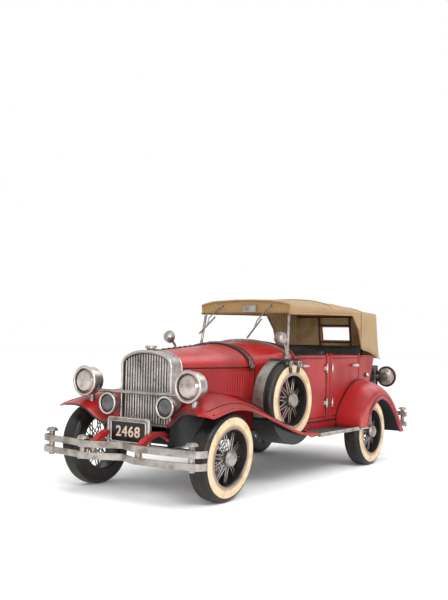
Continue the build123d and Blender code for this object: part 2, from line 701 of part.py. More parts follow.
def turned_x(points, x, y, z):
    """Piece turned about a fore-and-aft axis, from (radius, distance ahead of x)."""
    return Pos(x, y, z) * Rot(0, 0, -90) * turned(points)


def make_headlight():
    """Left drum headlight with its rolled front ring and foot."""
    bowl = [(0, -13.5), (5.5, -13.2), (9.2, -11.6), (10.5, -9.0), (10.5, -2.4), (LAMP_R, -2.0), (LAMP_R, 0),
            (9.2, 0), (9.2, -3.0), (0, -3.0)]
    drum = turned_x(bowl, LAMP_X, LAMP_Y, LAMP_Z)
    foot = rod((168.5, LAMP_Y, 60), (168.5, LAMP_Y, LAMP_Z - 9), 2.4) - fender_volume(40, 0)
    return drum + foot


def make_headlight_lens():
    """Left domed lens."""
    dome = [(0, -2.9), (9.1, -2.9), (9.1, -0.6), (7.4, 0.7), (4.4, 1.8), (0, 2.3)]
    return turned_x(dome, LAMP_X, LAMP_Y, LAMP_Z)


def make_lamp_bar():
    """Cross bar between the headlights."""
    bar = rod((173.2, -40, 75.7), (173.2, 40, 75.7), 1.3)
    lug = block(171.6, 174.8, 38.5, 42.4, 75.0, 79.2)
    drum_space = rod((150, LAMP_Y, LAMP_Z), (180, LAMP_Y, LAMP_Z), 10.55)
    lug = lug - drum_space
    return bar + lug + mirrored(lug)


def make_driving_lamp():
    """Left small lamp below the cross bar, with the stay that holds it."""
    outline = [(0, -8.0), (4.2, -8.0), (6.6, -6.0), (7.2, -2.0), (8.0, -1.6), (8.0, 0), (6.9, 0),
               (6.9, -1.0), (0, -1.0)]
    horn = turned_x(outline, 175.1, 27.7, 66.4)
    stay = block(172.2, 174.2, 27.0, 28.4, 72.0, 74.6)
    return horn + stay


keep("headlight_shells", both(make_headlight()))
keep("headlight_lenses", both(make_headlight_lens()))
keep("lamp_bar", make_lamp_bar() + both(make_driving_lamp()))


# ---------------------------------------------------------------- bumpers and plate
BAR_T = 1.5


def bar_strip(points, bends, z0, z1):
    """Upright flat strip along a plan line of (x, y) points."""
    path = FilletPolyline(*points, radius=bends)
    return extrude(Pos(0, 0, z0) * trace(path, BAR_T), z1 - z0, dir=(0, 0, 1))


def bumper_post(x, y, z0, z1):
    """Bumper guard post with a mushroom cap."""
    post = rod((x, y, z0), (x, y, z1), 2.2)
    dome = Polygon((0, 0), (4.4, 0), (4.4, 1.0), (3.2, 2.4), (0, 3.2), align=None)
    return post + Pos(x, y, z1) * revolve(Plane.XZ * dome, Axis.Z)


BUMPER_MAIN = [(188, 75.4), (195.2, 73.5), (199.0, 45), (199.2, 20), (190.6, 3), (199.8, -13), (204.4, -28)]
BUMPER_SIDE = [(188, -75.4), (195.2, -73.5), (198.4, -45), (200.6, -26.0)]
FRONT_BARS = ((28.2, 33.0), (36.6, 41.4))
MIDDLE_POST = (202.0, -25.4)


def make_front_bumper():
    """Two-bar front bumper: one long bar that weaves past the middle, and a shorter one."""
    bumper = None
    for z0, z1 in FRONT_BARS:
        bars = bar_strip(BUMPER_MAIN, [5, 12, 8, 4, 5], z0, z1)
        bars += bar_strip(BUMPER_SIDE, [5, 12], z0, z1)
        bumper = bars if bumper is None else bumper + bars
    for y in (66.5, -66.5):
        bumper += bumper_post(193.4, y, 26.6, 44.2)
    bumper += bumper_post(*MIDDLE_POST, 28.2, 42.4)
    bumper += block(195.0, 202.0, -23.4, -20.0, 36.6, 39.8)
    return bumper


PLATE_Z = 47.4


def make_license_plate():
    """Number plate on two stays from the front cross member."""
    plate = Pos(180.4, 0, PLATE_Z) * Rot(0, 90, 0) * extrude(RectangleRounded(21.2, 41.0, 2.6), 1.6)
    stays = block(179.4, 180.4, -14, -12, 38.0, 44.0) + block(179.4, 180.4, 12, 14, 38.0, 44.0)
    bar = block(178.0, 180.4, -19.0, 19.0, 36.4, 38.4)
    return plate + stays + bar


REAR_BUMPER = [(-186, 64.0), (-196.0, 62.0), (-202.2, 52), (-203.4, 0)]
REAR_BARS = ((28.6, 33.0), (39.0, 43.4))


def make_rear_bumper():
    """Two-bar rear bumper with two guard posts and its arms to the rails."""
    bumper = None
    for z0, z1 in REAR_BARS:
        half_bar = bar_strip(REAR_BUMPER, [4, 6], z0, z1)
        bars = half_bar + mirrored(half_bar)
        bumper = bars if bumper is None else bumper + bars
    for y in (-54.5, 54.5):
        bumper += bumper_post(-202.0, y, 27.6, 45.4)
    for y in (-21.5, 21.5):
        bumper += block(-203.4, -199.5, y - 1.6, y + 1.6, 28.6, 43.4)
        bumper += block(-201.0, -153.0, y - 1.6, y + 1.6, 38.0, 41.0)
    return bumper


frame_horns = NODES["frame_horns"]
keep("front_bumper", make_front_bumper() - frame_horns)
keep("license_plate", make_license_plate() - frame_horns)
keep("rear_bumper", make_rear_bumper())


# ---------------------------------------------------------------- windshield, wipers and straps
def make_windshield():
    """Raked posts, header and a strip that follows the scuttle."""
    post = rod((33.4, 46.3, 103.0), (26.6, 43.6, 145.2), 1.2)
    header = rod((26.7, -43.7, 144.8), (26.7, 43.7, 144.8), 1.2)
    foot = block(30.6, 36.2, 44.9, 47.6, 101.8, 104.0)
    scuttle = arch_loft(COWL_FRONT, COWL_REAR)
    middle = blend_section(COWL_FRONT, COWL_REAR, 32.0)
    ring = arch_slab(31.0, 33.0, middle[1] + 0.8, 96.0, middle[3] + 0.2, middle[4] + 2.0)
    sill = ring - scuttle - block(20, 40, -60, 60, 90, 103.0)
    side = post + foot
    return (header + side + mirrored(side) + sill) - scuttle


def make_wipers():
    """Two wire wipers and a small mirror that hang in front of the header."""
    x = 33.0
    pieces = []
    # pivot, elbow, and the two ends of the blade, each as (y, z)
    right = (-23.4, 146.4, -36.6, 136.2, -47.2, 121.6, -30.0, 136.8)
    left = (27.8, 146.6, 15.0, 133.6, 4.9, 118.2, 19.6, 135.2)
    for y0, z0, y1, z1, y2, z2, y3, z3 in (right, left):
        pivot = rod((31.0, y0, z0), (x + 0.6, y0, z0), 1.0)
        arm = rod((x, y0, z0), (x, y1, z1), 0.55)
        middle = ((y2 + y3) / 2, (z2 + z3) / 2)
        link = rod((x, y1, z1), (x, middle[0], middle[1]), 0.55)
        blade = rod((x, y2, z2), (x, y3, z3), 0.75)
        pieces.append(pivot + arm + link + blade)
    mirror_frame = block(31.2, 32.6, -1.0, 13.0, 141.2, 146.8)
    return group(*pieces, mirror_frame)


def make_hood_strap():
    """Leather strap over the rear of the hood."""
    x0 = 75.0
    x1 = 79.0
    near = blend_section(HOOD_FRONT, HOOD_REAR, x0)
    outer = arch_slab(x0, x1, near[1] + 1.1, 92.0, SEAM_Z, near[4] + 1.0)
    under = arch_slab(x0 - 1, x1 + 1, near[1] + 0.1, 85.0, SEAM_Z, near[4] + 0.05)
    return outer - under


keep("windshield_frame", make_windshield())
keep("wipers", make_wipers())
keep("hood_strap", make_hood_strap())


# ---------------------------------------------------------------- cabin
def make_front_seat():
    """Bench and back of the front seat."""
    profile = [(-36, 43.1), (-12, 43.1), (-9, 60), (-8, 72), (-30, 74.5), (-34, 76), (-38, 106),
               (-44, 107), (-43.5, 43.1)]
    return side_prism(profile, -43, 43)


def make_rear_seat():
    """Bench and back of the rear seat."""
    profile = [(-86, 59.1), (-85, 74), (-112, 77), (-116, 80), (-121, 112), (-129, 113.4), (-130, 59.1)]
    return side_prism(profile, -42.5, 42.5)


STEER_AT = (2.0, 22.0, 97.0)
STEER_LEAN = 58.0


def make_steering_wheel():
    """Three-spoked wheel with a hub bored for its column, built about the Z axis."""
    rim = Torus(10.5, 0.9)
    hub = Pos(0, 0, -1.5) * extrude(Circle(2.4), 3.0)
    wheel = rim + hub
    for number in range(3):
        a = radians(90 + 120 * number)
        wheel += rod((1.8 * cos(a), 1.8 * sin(a), 0), (10.4 * cos(a), 10.4 * sin(a), 0), 0.6)
    return wheel - rod((0, 0, -3), (0, 0, 3), 0.8 + RUNNING)


def make_steering_column():
    """Column from the dash with a journal for the wheel and a nut above it."""
    column = rod((0, 0, 1.65), (0, 0, 28), 1.6) + rod((0, 0, -2.2), (0, 0, 2), 0.8)
    return column + rod((0, 0, -2.6), (0, 0, -1.65), 1.5)


steer_place = Pos(*STEER_AT) * Rot(0, 180 - STEER_LEAN, 0)
column = steer_place * make_steering_column()
keep("steering_wheel", steer_place * make_steering_wheel())
keep("steering_column", column - cowl - block(COWL_REAR_X + 0.3, 60, 0, 40, 60, 120))
keep("front_seat", make_front_seat())
keep("rear_seat", make_rear_seat())


# ---------------------------------------------------------------- canvas top
CANVAS = 1.2
TOP_STATIONS = [(31.0, 46.5, 147.3, 151.6), (0.0, 47.4, 147.3, 154.6), (-50.0, 48.4, 147.0, 156.4),
                (-82.0, 48.8, 146.8, 156.0), (-107.0, 49.0, 146.4, 152.6), (-157.0, 47.2, 145.8, 148.0)]
TOP_REAR = [(-146.6, 160.0), (-146.6, 146.0), (-148.8, 131.6), (-155.2, 100.2)]


def canvas_face(x, half, z_side, z_top, wall, low):
    """Section of the top: upright sides and a crowned roof."""
    half = half - wall
    sides = Polyline((-half, z_side - wall), (-half, low), (half, low), (half, z_side - wall))
    crown = ThreePointArc((half, z_side - wall), (0, z_top - wall), (-half, z_side - wall))
    return Pos(x, 0, 0) * (Plane.YZ * make_face([*sides.edges(), crown]))


def canvas_volume(wall):
    """Filled canvas top, less a wall of cloth all round."""
    low = 99.0 - (2.0 if wall else 0.0)
    sections = [canvas_face(*station, wall, low) for station in TOP_STATIONS]
    body = loft(sections, ruled=True)
    front = TOP_STATIONS[0][0] - wall
    rear = [(x + wall, z) for x, z in TOP_REAR]
    outline = [(front, 90.0), (front, 160.0), *rear, (rear[-1][0], 90.0)]
    return body & side_prism(outline, -60, 60)


def make_canvas_top():
    """Raised top with open sides, a rear curtain and a window in it."""
    shell = canvas_volume(0) - canvas_volume(CANVAS)
    side_opening = [(40, 90), (40, 139.6), (20, 140.0), (-37, 141.6), (-87.5, 142.7), (-101.9, 128.5),
                    (-107.0, 115.0), (-108.2, 110.4), (-130, 107.0), (-150, 102.0), (-160, 99.4), (-160, 90)]
    shell -= side_prism(side_opening, -60, 60)
    shell -= block(-170, -140, -16.5, 16.5, 118.0, 132.8)
    return shell


def make_top_bows():
    """Hoops, side rails, corner posts and rear window frame that carry the canvas."""
    bows = None
    for x in (-45.0, -98.0):
        side_z = 144.0
        top = {-45.0: 153.4, -98.0: 151.4}[x]
        path = Spline((x, -44.6, side_z), (x, -30, side_z + (top - side_z) * 0.62), (x, 0, top),
                      (x, 30, side_z + (top - side_z) * 0.62), (x, 44.6, side_z))
        hoop = sweep(Plane(origin=path @ 0, z_dir=path % 0) * Circle(1.0), path=path)
        bows = hoop if bows is None else bows + hoop
    for sign in (-1, 1):
        bows += rod((27.0, sign * 42.0, 142.4), (-45.0, sign * 44.6, 144.0), 1.0)
        bows += rod((-45.0, sign * 44.6, 144.0), (-98.0, sign * 44.6, 144.0), 1.0)
        bows += rod((-98.0, sign * 44.6, 144.0), (-142.0, sign * 43.6, 142.6), 1.0)
        bows += rod((-142.0, sign * 43.6, 142.6), (-146.4, sign * 43.0, 112.0), 1.0)
        bows += rod((-143.8, sign * 18.0, 143.0), (-148.6, sign * 18.0, 112.0), 1.0)
    for z, x in ((143.0, -143.8), (134.2, -145.2), (116.6, -147.9), (112.0, -148.4)):
        reach = 43.0 if z in (143.0, 112.0) else 18.0
        bend_x = x if reach == 18.0 else {143.0: -142.6, 112.0: -147.0}[z]
        bows += rod((bend_x, -reach, z), (bend_x, reach, z), 0.9)
    return bows


canvas_top = keep("canvas_top", make_canvas_top())
keep("top_bows", make_top_bows() - canvas_top - NODES["windshield_frame"])


# ---------------------------------------------------------------- trunk and tail lamps
def make_trunk():
    """Luggage trunk behind the body, with an overhanging lid."""
    box = block(-180, -157, -34, 34, 66.0, 88.0)
    lid = block(-180.8, -156.2, -34.8, 34.8, 88.0, 92.6)
    edges = lid.edges().group_by(Axis.Z)[-1]
    return box + fillet(edges, 1.6)


def make_trunk_rack():
    """Rack that stands on the rear ends of the rails."""
    rack = None
    for y in (-21.5, 21.5):
        arm = block(-181.0, -149.0, y - 1.5, y + 1.5, 63.4, 66.0)
        arm += block(-152.0, -149.0, y - 1.5, y + 1.5, RAIL_HIGH, 63.4)
        rack = arm if rack is None else rack + arm
    for x in (-179.0, -160.0):
        rack += block(x - 1.2, x + 1.2, -36.0, 36.0, 63.4, 66.0)
    return rack


def make_tail_lamp():
    """Left tail lamp: a bowl with its lens to the rear, on a stay from the trunk."""
    outline = [(0, 8.0), (4.6, 7.0), (8.0, 4.2), (9.4, 0.6), (10.2, 0), (10.2, -2.4), (9.0, -3.0), (0, -4.2)]
    bowl = turned_x(outline, -177.5, 46.0, 81.0)
    stay = rod((-172.0, 34.0, 81.0), (-172.0, 40.0, 81.0), 1.6)
    return bowl + stay


keep("trunk", make_trunk())
keep("trunk_rack", make_trunk_rack())
keep("tail_lamps", both(make_tail_lamp()))

for name, shape in NODES.items():
    export_step(shape, "parts/" + name + ".step")
print(len(NODES), "nodes")
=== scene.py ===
from math import cos, pi, radians, sin, sqrt

import bmesh
import bpy
from mathutils import Matrix, Vector, noise
from mathutils.bvhtree import BVHTree


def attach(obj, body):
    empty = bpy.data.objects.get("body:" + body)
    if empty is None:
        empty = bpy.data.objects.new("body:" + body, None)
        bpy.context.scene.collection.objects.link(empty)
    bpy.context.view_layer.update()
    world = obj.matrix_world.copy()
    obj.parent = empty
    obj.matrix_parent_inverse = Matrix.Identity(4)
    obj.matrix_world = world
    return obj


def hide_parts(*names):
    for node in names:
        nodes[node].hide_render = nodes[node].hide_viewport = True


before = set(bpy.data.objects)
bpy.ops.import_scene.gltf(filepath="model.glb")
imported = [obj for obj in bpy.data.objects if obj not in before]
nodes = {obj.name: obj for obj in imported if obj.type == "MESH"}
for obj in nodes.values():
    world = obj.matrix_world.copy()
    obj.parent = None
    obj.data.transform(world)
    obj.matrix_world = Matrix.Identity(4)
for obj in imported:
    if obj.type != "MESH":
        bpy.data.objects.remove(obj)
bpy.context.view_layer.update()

# Places are written in millimetres, as in the design, and turned into metres by mm().
MM = 0.001
SIDES = (("left", 1), ("right", -1))


def mm(x, y, z):
    """A point given in millimetres, in metres."""
    return Vector((x * MM, y * MM, z * MM))


# ---------------------------------------------------------------- node materials
class Look:
    """A node material under construction."""

    def __init__(self, name, **values):
        self.material = bpy.data.materials.new(name)
        self.material.use_nodes = True
        self.tree = self.material.node_tree
        self.shader = self.tree.nodes["Principled BSDF"]
        for key, value in values.items():
            self.shader.inputs[key.replace("_", " ")].default_value = value
        self.place = self.add("ShaderNodeTexCoord").outputs["Object"]

    def add(self, kind, **settings):
        node = self.tree.nodes.new(kind)
        for key, value in settings.items():
            setattr(node, key, value)
        return node

    def join(self, source, target):
        """Link an output, or set a constant, on an input."""
        if isinstance(source, bpy.types.NodeSocket):
            self.tree.links.new(source, target)
        else:
            target.default_value = source

    def noise(self, scale, detail=4.0, stretch=(1, 1, 1)):
        """Noise from 0 to 1; the scale counts features per metre."""
        mapping = self.add("ShaderNodeMapping")
        mapping.inputs["Scale"].default_value = stretch
        self.join(self.place, mapping.inputs["Vector"])
        texture = self.add("ShaderNodeTexNoise")
        texture.inputs["Scale"].default_value = scale
        texture.inputs["Detail"].default_value = detail
        self.join(mapping.outputs["Vector"], texture.inputs["Vector"])
        return texture.outputs["Fac"]

    def band(self, value, low, high, bottom=0.0, top=1.0):
        """Value between low and high, spread from bottom to top and held there outside."""
        node = self.add("ShaderNodeMapRange", clamp=True)
        for socket, given in zip(node.inputs, (value, low, high, bottom, top)):
            self.join(given, socket)
        return node.outputs["Result"]

    def window(self, value, start, full, fade, end):
        """1 from full to fade, falling to 0 at start and end."""
        return self.math("MULTIPLY", self.band(value, start, full), self.band(value, fade, end, 1, 0))

    def math(self, operation, a, b=0.0):
        node = self.add("ShaderNodeMath", operation=operation)
        self.join(a, node.inputs[0])
        self.join(b, node.inputs[1])
        return node.outputs[0]

    def mix(self, share, a, b):
        """Colour a, giving way to colour b as share rises."""
        node = self.add("ShaderNodeMix", data_type="RGBA")
        self.join(share, node.inputs["Factor"])
        for given, socket in ((a, node.inputs[6]), (b, node.inputs[7])):
            self.join((*given, 1) if isinstance(given, tuple) else given, socket)
        return node.outputs[2]

    def crevice_shade(self, reach):
        """Painted shade from ambient occlusion: 1 deep in a seam, 0 in the open."""
        node = self.add("ShaderNodeAmbientOcclusion", samples=6)
        node.inputs["Distance"].default_value = reach
        return self.band(node.outputs["AO"], 0.25, 0.85, 1.0, 0.0)

    def radius(self, centre, axis):
        """Distance in metres from an axle along Y ("Y") or from either of two along X ("X")."""
        away = self.add("ShaderNodeVectorMath", operation="ABSOLUTE" if axis == "X" else "ADD")
        self.join(self.place, away.inputs[0])
        moved = self.add("ShaderNodeVectorMath", operation="SUBTRACT")
        self.join(away.outputs[0], moved.inputs[0])
        moved.inputs[1].default_value = centre
        flat = self.add("ShaderNodeVectorMath", operation="MULTIPLY")
        self.join(moved.outputs[0], flat.inputs[0])
        flat.inputs[1].default_value = (1, 0, 1) if axis == "Y" else (0, 1, 1)
        length = self.add("ShaderNodeVectorMath", operation="LENGTH")
        self.join(flat.outputs[0], length.inputs[0])
        return length.outputs["Value"]

    def bump(self, height, depth, strength=1.0):
        node = self.add("ShaderNodeBump")
        node.inputs["Strength"].default_value = strength
        node.inputs["Distance"].default_value = depth
        self.join(height, node.inputs["Height"])
        self.join(node.outputs["Normal"], self.shader.inputs["Normal"])

    def colour(self, value):
        self.join(value, self.shader.inputs["Base Color"])

    def roughness(self, value):
        self.join(value, self.shader.inputs["Roughness"])


def paint(name, clean, worn, grime_and_shade, rough=0.34, coat=0.0, reach=0.004, gloss=0.35, special=None):
    """Hand-brushed enamel with clouds of wear, specks of dirt, painted shade in its seams and a faint orange
    peel.
    """
    look = Look(name, Coat_Weight=coat, Coat_Roughness=0.25, Specular_IOR_Level=gloss)
    clouds = look.band(look.noise(38, 6), 0.42, 0.66)
    specks = look.band(look.noise(520, 3), 0.64, 0.74)
    body = look.mix(look.math("MULTIPLY", clouds, 0.75), clean, worn)
    body = look.mix(look.math("MULTIPLY", specks, 0.55), body, grime_and_shade)
    # Painted shade: ambient occlusion darkens the seams towards the darkest colour, broken up by noise.
    seam_shade = look.math("MULTIPLY", look.crevice_shade(reach), look.band(look.noise(90, 5), 0.25, 0.6, 0.45, 1.0))
    body = look.mix(seam_shade, body, grime_and_shade)
    if special:
        share, other = special(look)
        body = look.mix(share, body, other)
    look.colour(body)
    look.roughness(look.band(clouds, 0, 1, rough - 0.06, rough + 0.14))
    look.bump(look.noise(900, 2), 0.00012, 0.35)
    return look.material


def part_of(look, vector):
    """X, Y and Z of a vector socket."""
    split = look.add("ShaderNodeSeparateXYZ")
    look.join(vector, split.inputs[0])
    return split.outputs


def door_metal(look):
    """Bare metal on the handles and hinges, which stand proud of the door's skin."""
    proud = look.math("ABSOLUTE", part_of(look, look.place)["Y"])
    share = look.band(proud, 0.04757, 0.04762)
    look.join(look.math("MULTIPLY", share, 0.85), look.shader.inputs["Metallic"])
    return share, (0.50, 0.46, 0.43)


def horn_knob(look):
    """Bare metal on the lower end of a frame horn."""
    height = part_of(look, look.place)["Z"]
    share = look.band(height, 0.0362, 0.0366, 1.0, 0.0)
    look.join(look.math("MULTIPLY", share, 0.8), look.shader.inputs["Metallic"])
    return share, (0.34, 0.27, 0.22)


UNDERSIDE = (0.006, 0.006, 0.006)


def under_front(look):
    """Black on the underside of the front fenders."""
    normal = part_of(look, look.add("ShaderNodeNewGeometry").outputs["True Normal"])
    side = part_of(look, look.place)["Y"]
    outward = look.math("MULTIPLY", normal["Y"], look.math("SIGN", side))
    facing = look.math("ADD", normal["Z"], look.math("MULTIPLY", outward, 0.45))
    return look.band(facing, -0.05, 0.02, 1.0, 0.0), UNDERSIDE


def inside_rear(look):
    """Black on the inside of the rear fenders, which faces the wheel."""
    normal = look.add("ShaderNodeNewGeometry").outputs["True Normal"]
    away = look.add("ShaderNodeVectorMath", operation="SUBTRACT")
    look.join(look.place, away.inputs[0])
    away.inputs[1].default_value = mm(-101, 0, 30)
    flat = look.add("ShaderNodeVectorMath", operation="MULTIPLY")
    look.join(away.outputs[0], flat.inputs[0])
    flat.inputs[1].default_value = (20, 0, 20)
    turn = look.add("ShaderNodeVectorMath", operation="DOT_PRODUCT")
    look.join(flat.outputs[0], turn.inputs[0])
    look.join(normal, turn.inputs[1])
    side = part_of(look, look.place)["Y"]
    outward = look.math("MULTIPLY", part_of(look, normal)["Y"], look.math("SIGN", side))
    facing = look.math("ADD", turn.outputs["Value"], look.math("MULTIPLY", outward, 1.2))
    return look.band(facing, -0.05, 0.02, 1.0, 0.0), UNDERSIDE


LOUVRE_PITCH = 2.8
LOUVRE_START = 0.148         # x of the first louvre, in metres


def louvre_shade(look):
    """Dark slots between the louvres."""
    place = part_of(look, look.place)
    turns = look.math("MULTIPLY", look.math("SUBTRACT", LOUVRE_START, place["X"]), 1 / (LOUVRE_PITCH * MM))
    slot = look.band(look.math("FRACT", turns), 0.60, 0.74)
    tall = look.window(place["Z"], 0.0665, 0.068, 0.0915, 0.0925)
    span = look.window(place["X"], 0.0722, 0.0732, LOUVRE_START, 0.149)
    fade = look.band(look.noise(200, 3), 0.3, 0.6, 0.7, 1.0)
    share = look.math("MULTIPLY", look.math("MULTIPLY", slot, tall), look.math("MULTIPLY", span, fade))
    return share, (0.030, 0.005, 0.005)


def metal(name, clean, worn, stain_and_shade, rough=0.36, shine=0.85, stains=0.55, reach=0.003, stretch=(1, 1, 1),
          special=None):
    """Plated or polished tin with brushed streaks, brown stains and painted shade in its corners."""
    look = Look(name, Metallic=shine)
    clouds = look.band(look.noise(70, 6), 0.38, 0.68)
    streaks = look.noise(260, 3, stretch)
    body = look.mix(clouds, clean, worn)
    body = look.mix(look.band(streaks, 0.5, 0.8, 0.0, 0.5), body, worn)
    spots = look.math("MULTIPLY", look.band(look.noise(120, 8), 0.56, 0.68), stains)
    body = look.mix(spots, body, stain_and_shade)
    # Painted shade: ambient occlusion darkens corners towards the stain colour.
    body = look.mix(look.crevice_shade(reach), body, stain_and_shade)
    if special:
        share, other = special(look)
        body = look.mix(share, body, other)
    look.colour(body)
    look.roughness(look.band(streaks, 0.3, 0.7, rough - 0.08, rough + 0.14))
    look.bump(streaks, 0.00012, 0.3)
    return look.material


def leather(name, base, light, rough=0.34, scale=1300):
    """Grained leather with creases."""
    look = Look(name, Coat_Weight=0.2, Coat_Roughness=0.3)
    cells = look.add("ShaderNodeTexVoronoi", feature="DISTANCE_TO_EDGE")
    cells.inputs["Scale"].default_value = scale
    look.join(look.place, cells.inputs["Vector"])
    creases = look.noise(140, 6)
    look.colour(look.mix(look.band(creases, 0.45, 0.7), base, light))
    look.roughness(look.band(creases, 0.3, 0.7, rough - 0.07, rough + 0.15))
    grain = look.band(cells.outputs["Distance"], 0, 0.25)
    look.bump(look.math("ADD", grain, look.math("MULTIPLY", creases, 2.0)), 0.00022, 0.6)
    return look.material


def weave(name, thread, gap, stain_and_shade, pitch, directions, stain_band=(0.5, 0.72)):
    """Woven cloth: two sets of threads, each running along a direction in space."""
    look = Look(name, Sheen_Weight=0.25, Sheen_Roughness=0.6)
    rows = []
    for direction in directions:
        along = look.add("ShaderNodeVectorMath", operation="DOT_PRODUCT")
        look.join(look.place, along.inputs[0])
        along.inputs[1].default_value = direction
        wobble = look.math("MULTIPLY", look.noise(160, 2), pitch * MM * 0.9)
        phase = look.math("ADD", along.outputs["Value"], wobble)
        wave = look.math("SINE", look.math("MULTIPLY", phase, 2 * pi / (pitch * MM)))
        rows.append(look.band(wave, -1, 1))
    cloth = look.math("MULTIPLY", rows[0], rows[1])
    height = look.math("ADD", cloth, look.math("MULTIPLY", look.noise(1500, 2), 0.5))
    patches = look.band(look.noise(26, 7), *stain_band)
    fine = look.band(look.noise(300, 4), 0.35, 0.65)
    body = look.mix(look.band(cloth, 0.0, 0.45), gap, thread)
    body = look.mix(look.math("MULTIPLY", fine, 0.3), body, gap)
    body = look.mix(look.math("MULTIPLY", patches, 0.7), body, stain_and_shade)
    # Painted shade: ambient occlusion darkens hollows in the cloth towards the stain colour, at half
    # strength.
    look.colour(look.mix(look.math("MULTIPLY", look.crevice_shade(0.006), 0.5), body, stain_and_shade))
    look.shader.inputs["Roughness"].default_value = 0.9
    look.bump(height, 0.0003, 0.8)
    return look.material


def wheel_shade(x, z, track):
    """Dark barrel and inner spokes for wire wheels round an axle at x, z."""
    def shade(look):
        radius = look.radius(mm(x, 0, z), "Y")
        barrel = look.window(radius, 0.0188, 0.0192, 0.02035, 0.0206)
        depth = look.math("ABSOLUTE", part_of(look, look.place)["Y"])
        inner = look.band(depth, (track - 1.0) * MM, (track + 0.6) * MM, 0.92, 0.0)
        share = look.math("MAXIMUM", barrel, inner)
        shine = look.math("SUBTRACT", 0.85, look.math("MULTIPLY", share, 0.8))
        look.join(shine, look.shader.inputs["Metallic"])
        return share, (0.012, 0.010, 0.009)
    return shade


def tyre_look(name, x, z, track):
    """Rubber with a cream whitewall on its outer side, round an axle at x, z in millimetres."""
    look = Look(name, Specular_IOR_Level=0.3)
    radius = look.radius(mm(x, 0, z), "Y")
    dust = look.band(look.noise(90, 6), 0.42, 0.72)
    rubber = look.mix(look.math("MULTIPLY", dust, 0.5), (0.008, 0.008, 0.008), (0.055, 0.038, 0.026))
    cream = look.mix(look.band(look.noise(120, 6), 0.45, 0.75), (0.60, 0.48, 0.31), (0.40, 0.26, 0.13))
    ragged = look.math("MULTIPLY", look.noise(600, 3), 0.0006)
    edge = look.math("ADD", radius, ragged)
    cream = look.mix(look.band(edge, 0.0222, 0.0242, 0.85, 0.0), cream, (0.22, 0.11, 0.05))
    wall = look.band(edge, 0.0287, 0.0291, 1.0, 0.0)
    outer = look.band(look.math("ABSOLUTE", part_of(look, look.place)["Y"]), track * MM, (track + 2) * MM)
    wall = look.math("MULTIPLY", wall, outer)
    look.colour(look.mix(wall, rubber, cream))
    look.roughness(look.band(dust, 0, 1, 0.34, 0.62))
    ridge = look.window(radius, 0.0284, 0.0289, 0.0289, 0.0294)
    look.bump(look.math("ADD", ridge, look.math("MULTIPLY", look.noise(1200, 2), 0.25)), 0.0004, 0.6)
    return look.material


def lens_look():
    """Pearly lens, browner towards its ring."""
    look = Look("lens_pearl", Coat_Weight=0.4, Coat_Roughness=0.08, Metallic=0.75)
    radius = look.radius(mm(0, 49.9, 82.3), "X")
    cloud = look.band(look.noise(150, 5), 0.4, 0.7)
    glass = look.mix(cloud, (0.46, 0.42, 0.39), (0.27, 0.22, 0.19))
    look.colour(look.mix(look.band(radius, 0.0066, 0.0092), glass, (0.20, 0.10, 0.05)))
    look.roughness(look.band(cloud, 0, 1, 0.12, 0.26))
    look.bump(look.noise(300, 3), 0.0001, 0.3)
    return look.material


REDS = ((0.33, 0.010, 0.011), (0.20, 0.006, 0.007), (0.035, 0.006, 0.006))
RED = paint("red_enamel", *REDS)
DOOR_RED = paint("door_enamel", *REDS, special=door_metal)
HORN_RED = paint("horn_enamel", *REDS, special=horn_knob)
FENDER_RED = paint("front_fender_enamel", *REDS, special=under_front)
REAR_FENDER_RED = paint("rear_fender_enamel", *REDS, special=inside_rear)
LOUVRE_RED = paint("louvre_enamel", *REDS, special=louvre_shade)
DARK_RED = paint("dark_red_enamel", (0.12, 0.010, 0.010), (0.06, 0.006, 0.006), (0.02, 0.006, 0.006), 0.4)
BLACK = paint("black_enamel", (0.006, 0.006, 0.006), (0.022, 0.018, 0.015), (0.004, 0.004, 0.004), 0.3,
              gloss=0.3)
BEAD = paint("seam_black", (0.010, 0.006, 0.006), (0.045, 0.008, 0.008), (0.004, 0.003, 0.003), 0.45,
             gloss=0.2)
SILVERS = ((0.38, 0.355, 0.33), (0.22, 0.19, 0.17), (0.085, 0.042, 0.022))
SILVER = metal("aged_pewter", *SILVERS)
DULL_SILVER = metal("dull_radiator", (0.40, 0.385, 0.37), (0.24, 0.22, 0.20), (0.06, 0.032, 0.02), 0.42, 0.8)
DRUM_SILVER = metal("lamp_silver", (0.48, 0.46, 0.44), (0.20, 0.175, 0.16), (0.07, 0.04, 0.022), 0.3,
                    stretch=(6, 1, 1))
BRIGHT = metal("bright_trim", (0.60, 0.57, 0.54), (0.40, 0.36, 0.32), (0.12, 0.065, 0.035), 0.24, 0.95, 0.3)
STEEL = metal("motor_steel", (0.42, 0.42, 0.43), (0.28, 0.27, 0.26), (0.07, 0.05, 0.03), 0.32, 0.95, 0.3)
BRASS = metal("gear_brass", (0.60, 0.42, 0.16), (0.40, 0.27, 0.10), (0.12, 0.07, 0.03), 0.32, 0.95, 0.3)
LEATHER = leather("black_hide", (0.006, 0.006, 0.006), (0.020, 0.018, 0.017))
STRAP = leather("strap_hide", (0.012, 0.009, 0.008), (0.045, 0.030, 0.022), 0.5, 1800)
CANVAS = weave("ochre_canvas", (0.42, 0.25, 0.07), (0.24, 0.13, 0.035), (0.17, 0.085, 0.02), 0.85,
               ((1, 0, 1), (0, 1, 1)), (0.55, 0.8))
LINING = weave("burlap_lining", (0.82, 0.60, 0.32), (0.36, 0.22, 0.09), (0.30, 0.15, 0.03), 1.15,
               ((0.3, 1, 0), (1, 0, 1)), (0.5, 0.62))
THREAD = leather("waxed_thread", (0.36, 0.22, 0.08), (0.24, 0.14, 0.05), 0.7)
CREAM = paint("cream_enamel", (0.55, 0.42, 0.34), (0.38, 0.27, 0.2), (0.12, 0.07, 0.04), 0.5, 0.1)
GLASS_DARK = metal("lamp_glass", (0.16, 0.16, 0.165), (0.08, 0.078, 0.078), (0.03, 0.02, 0.015), 0.2, 0.6,
                   0.3)

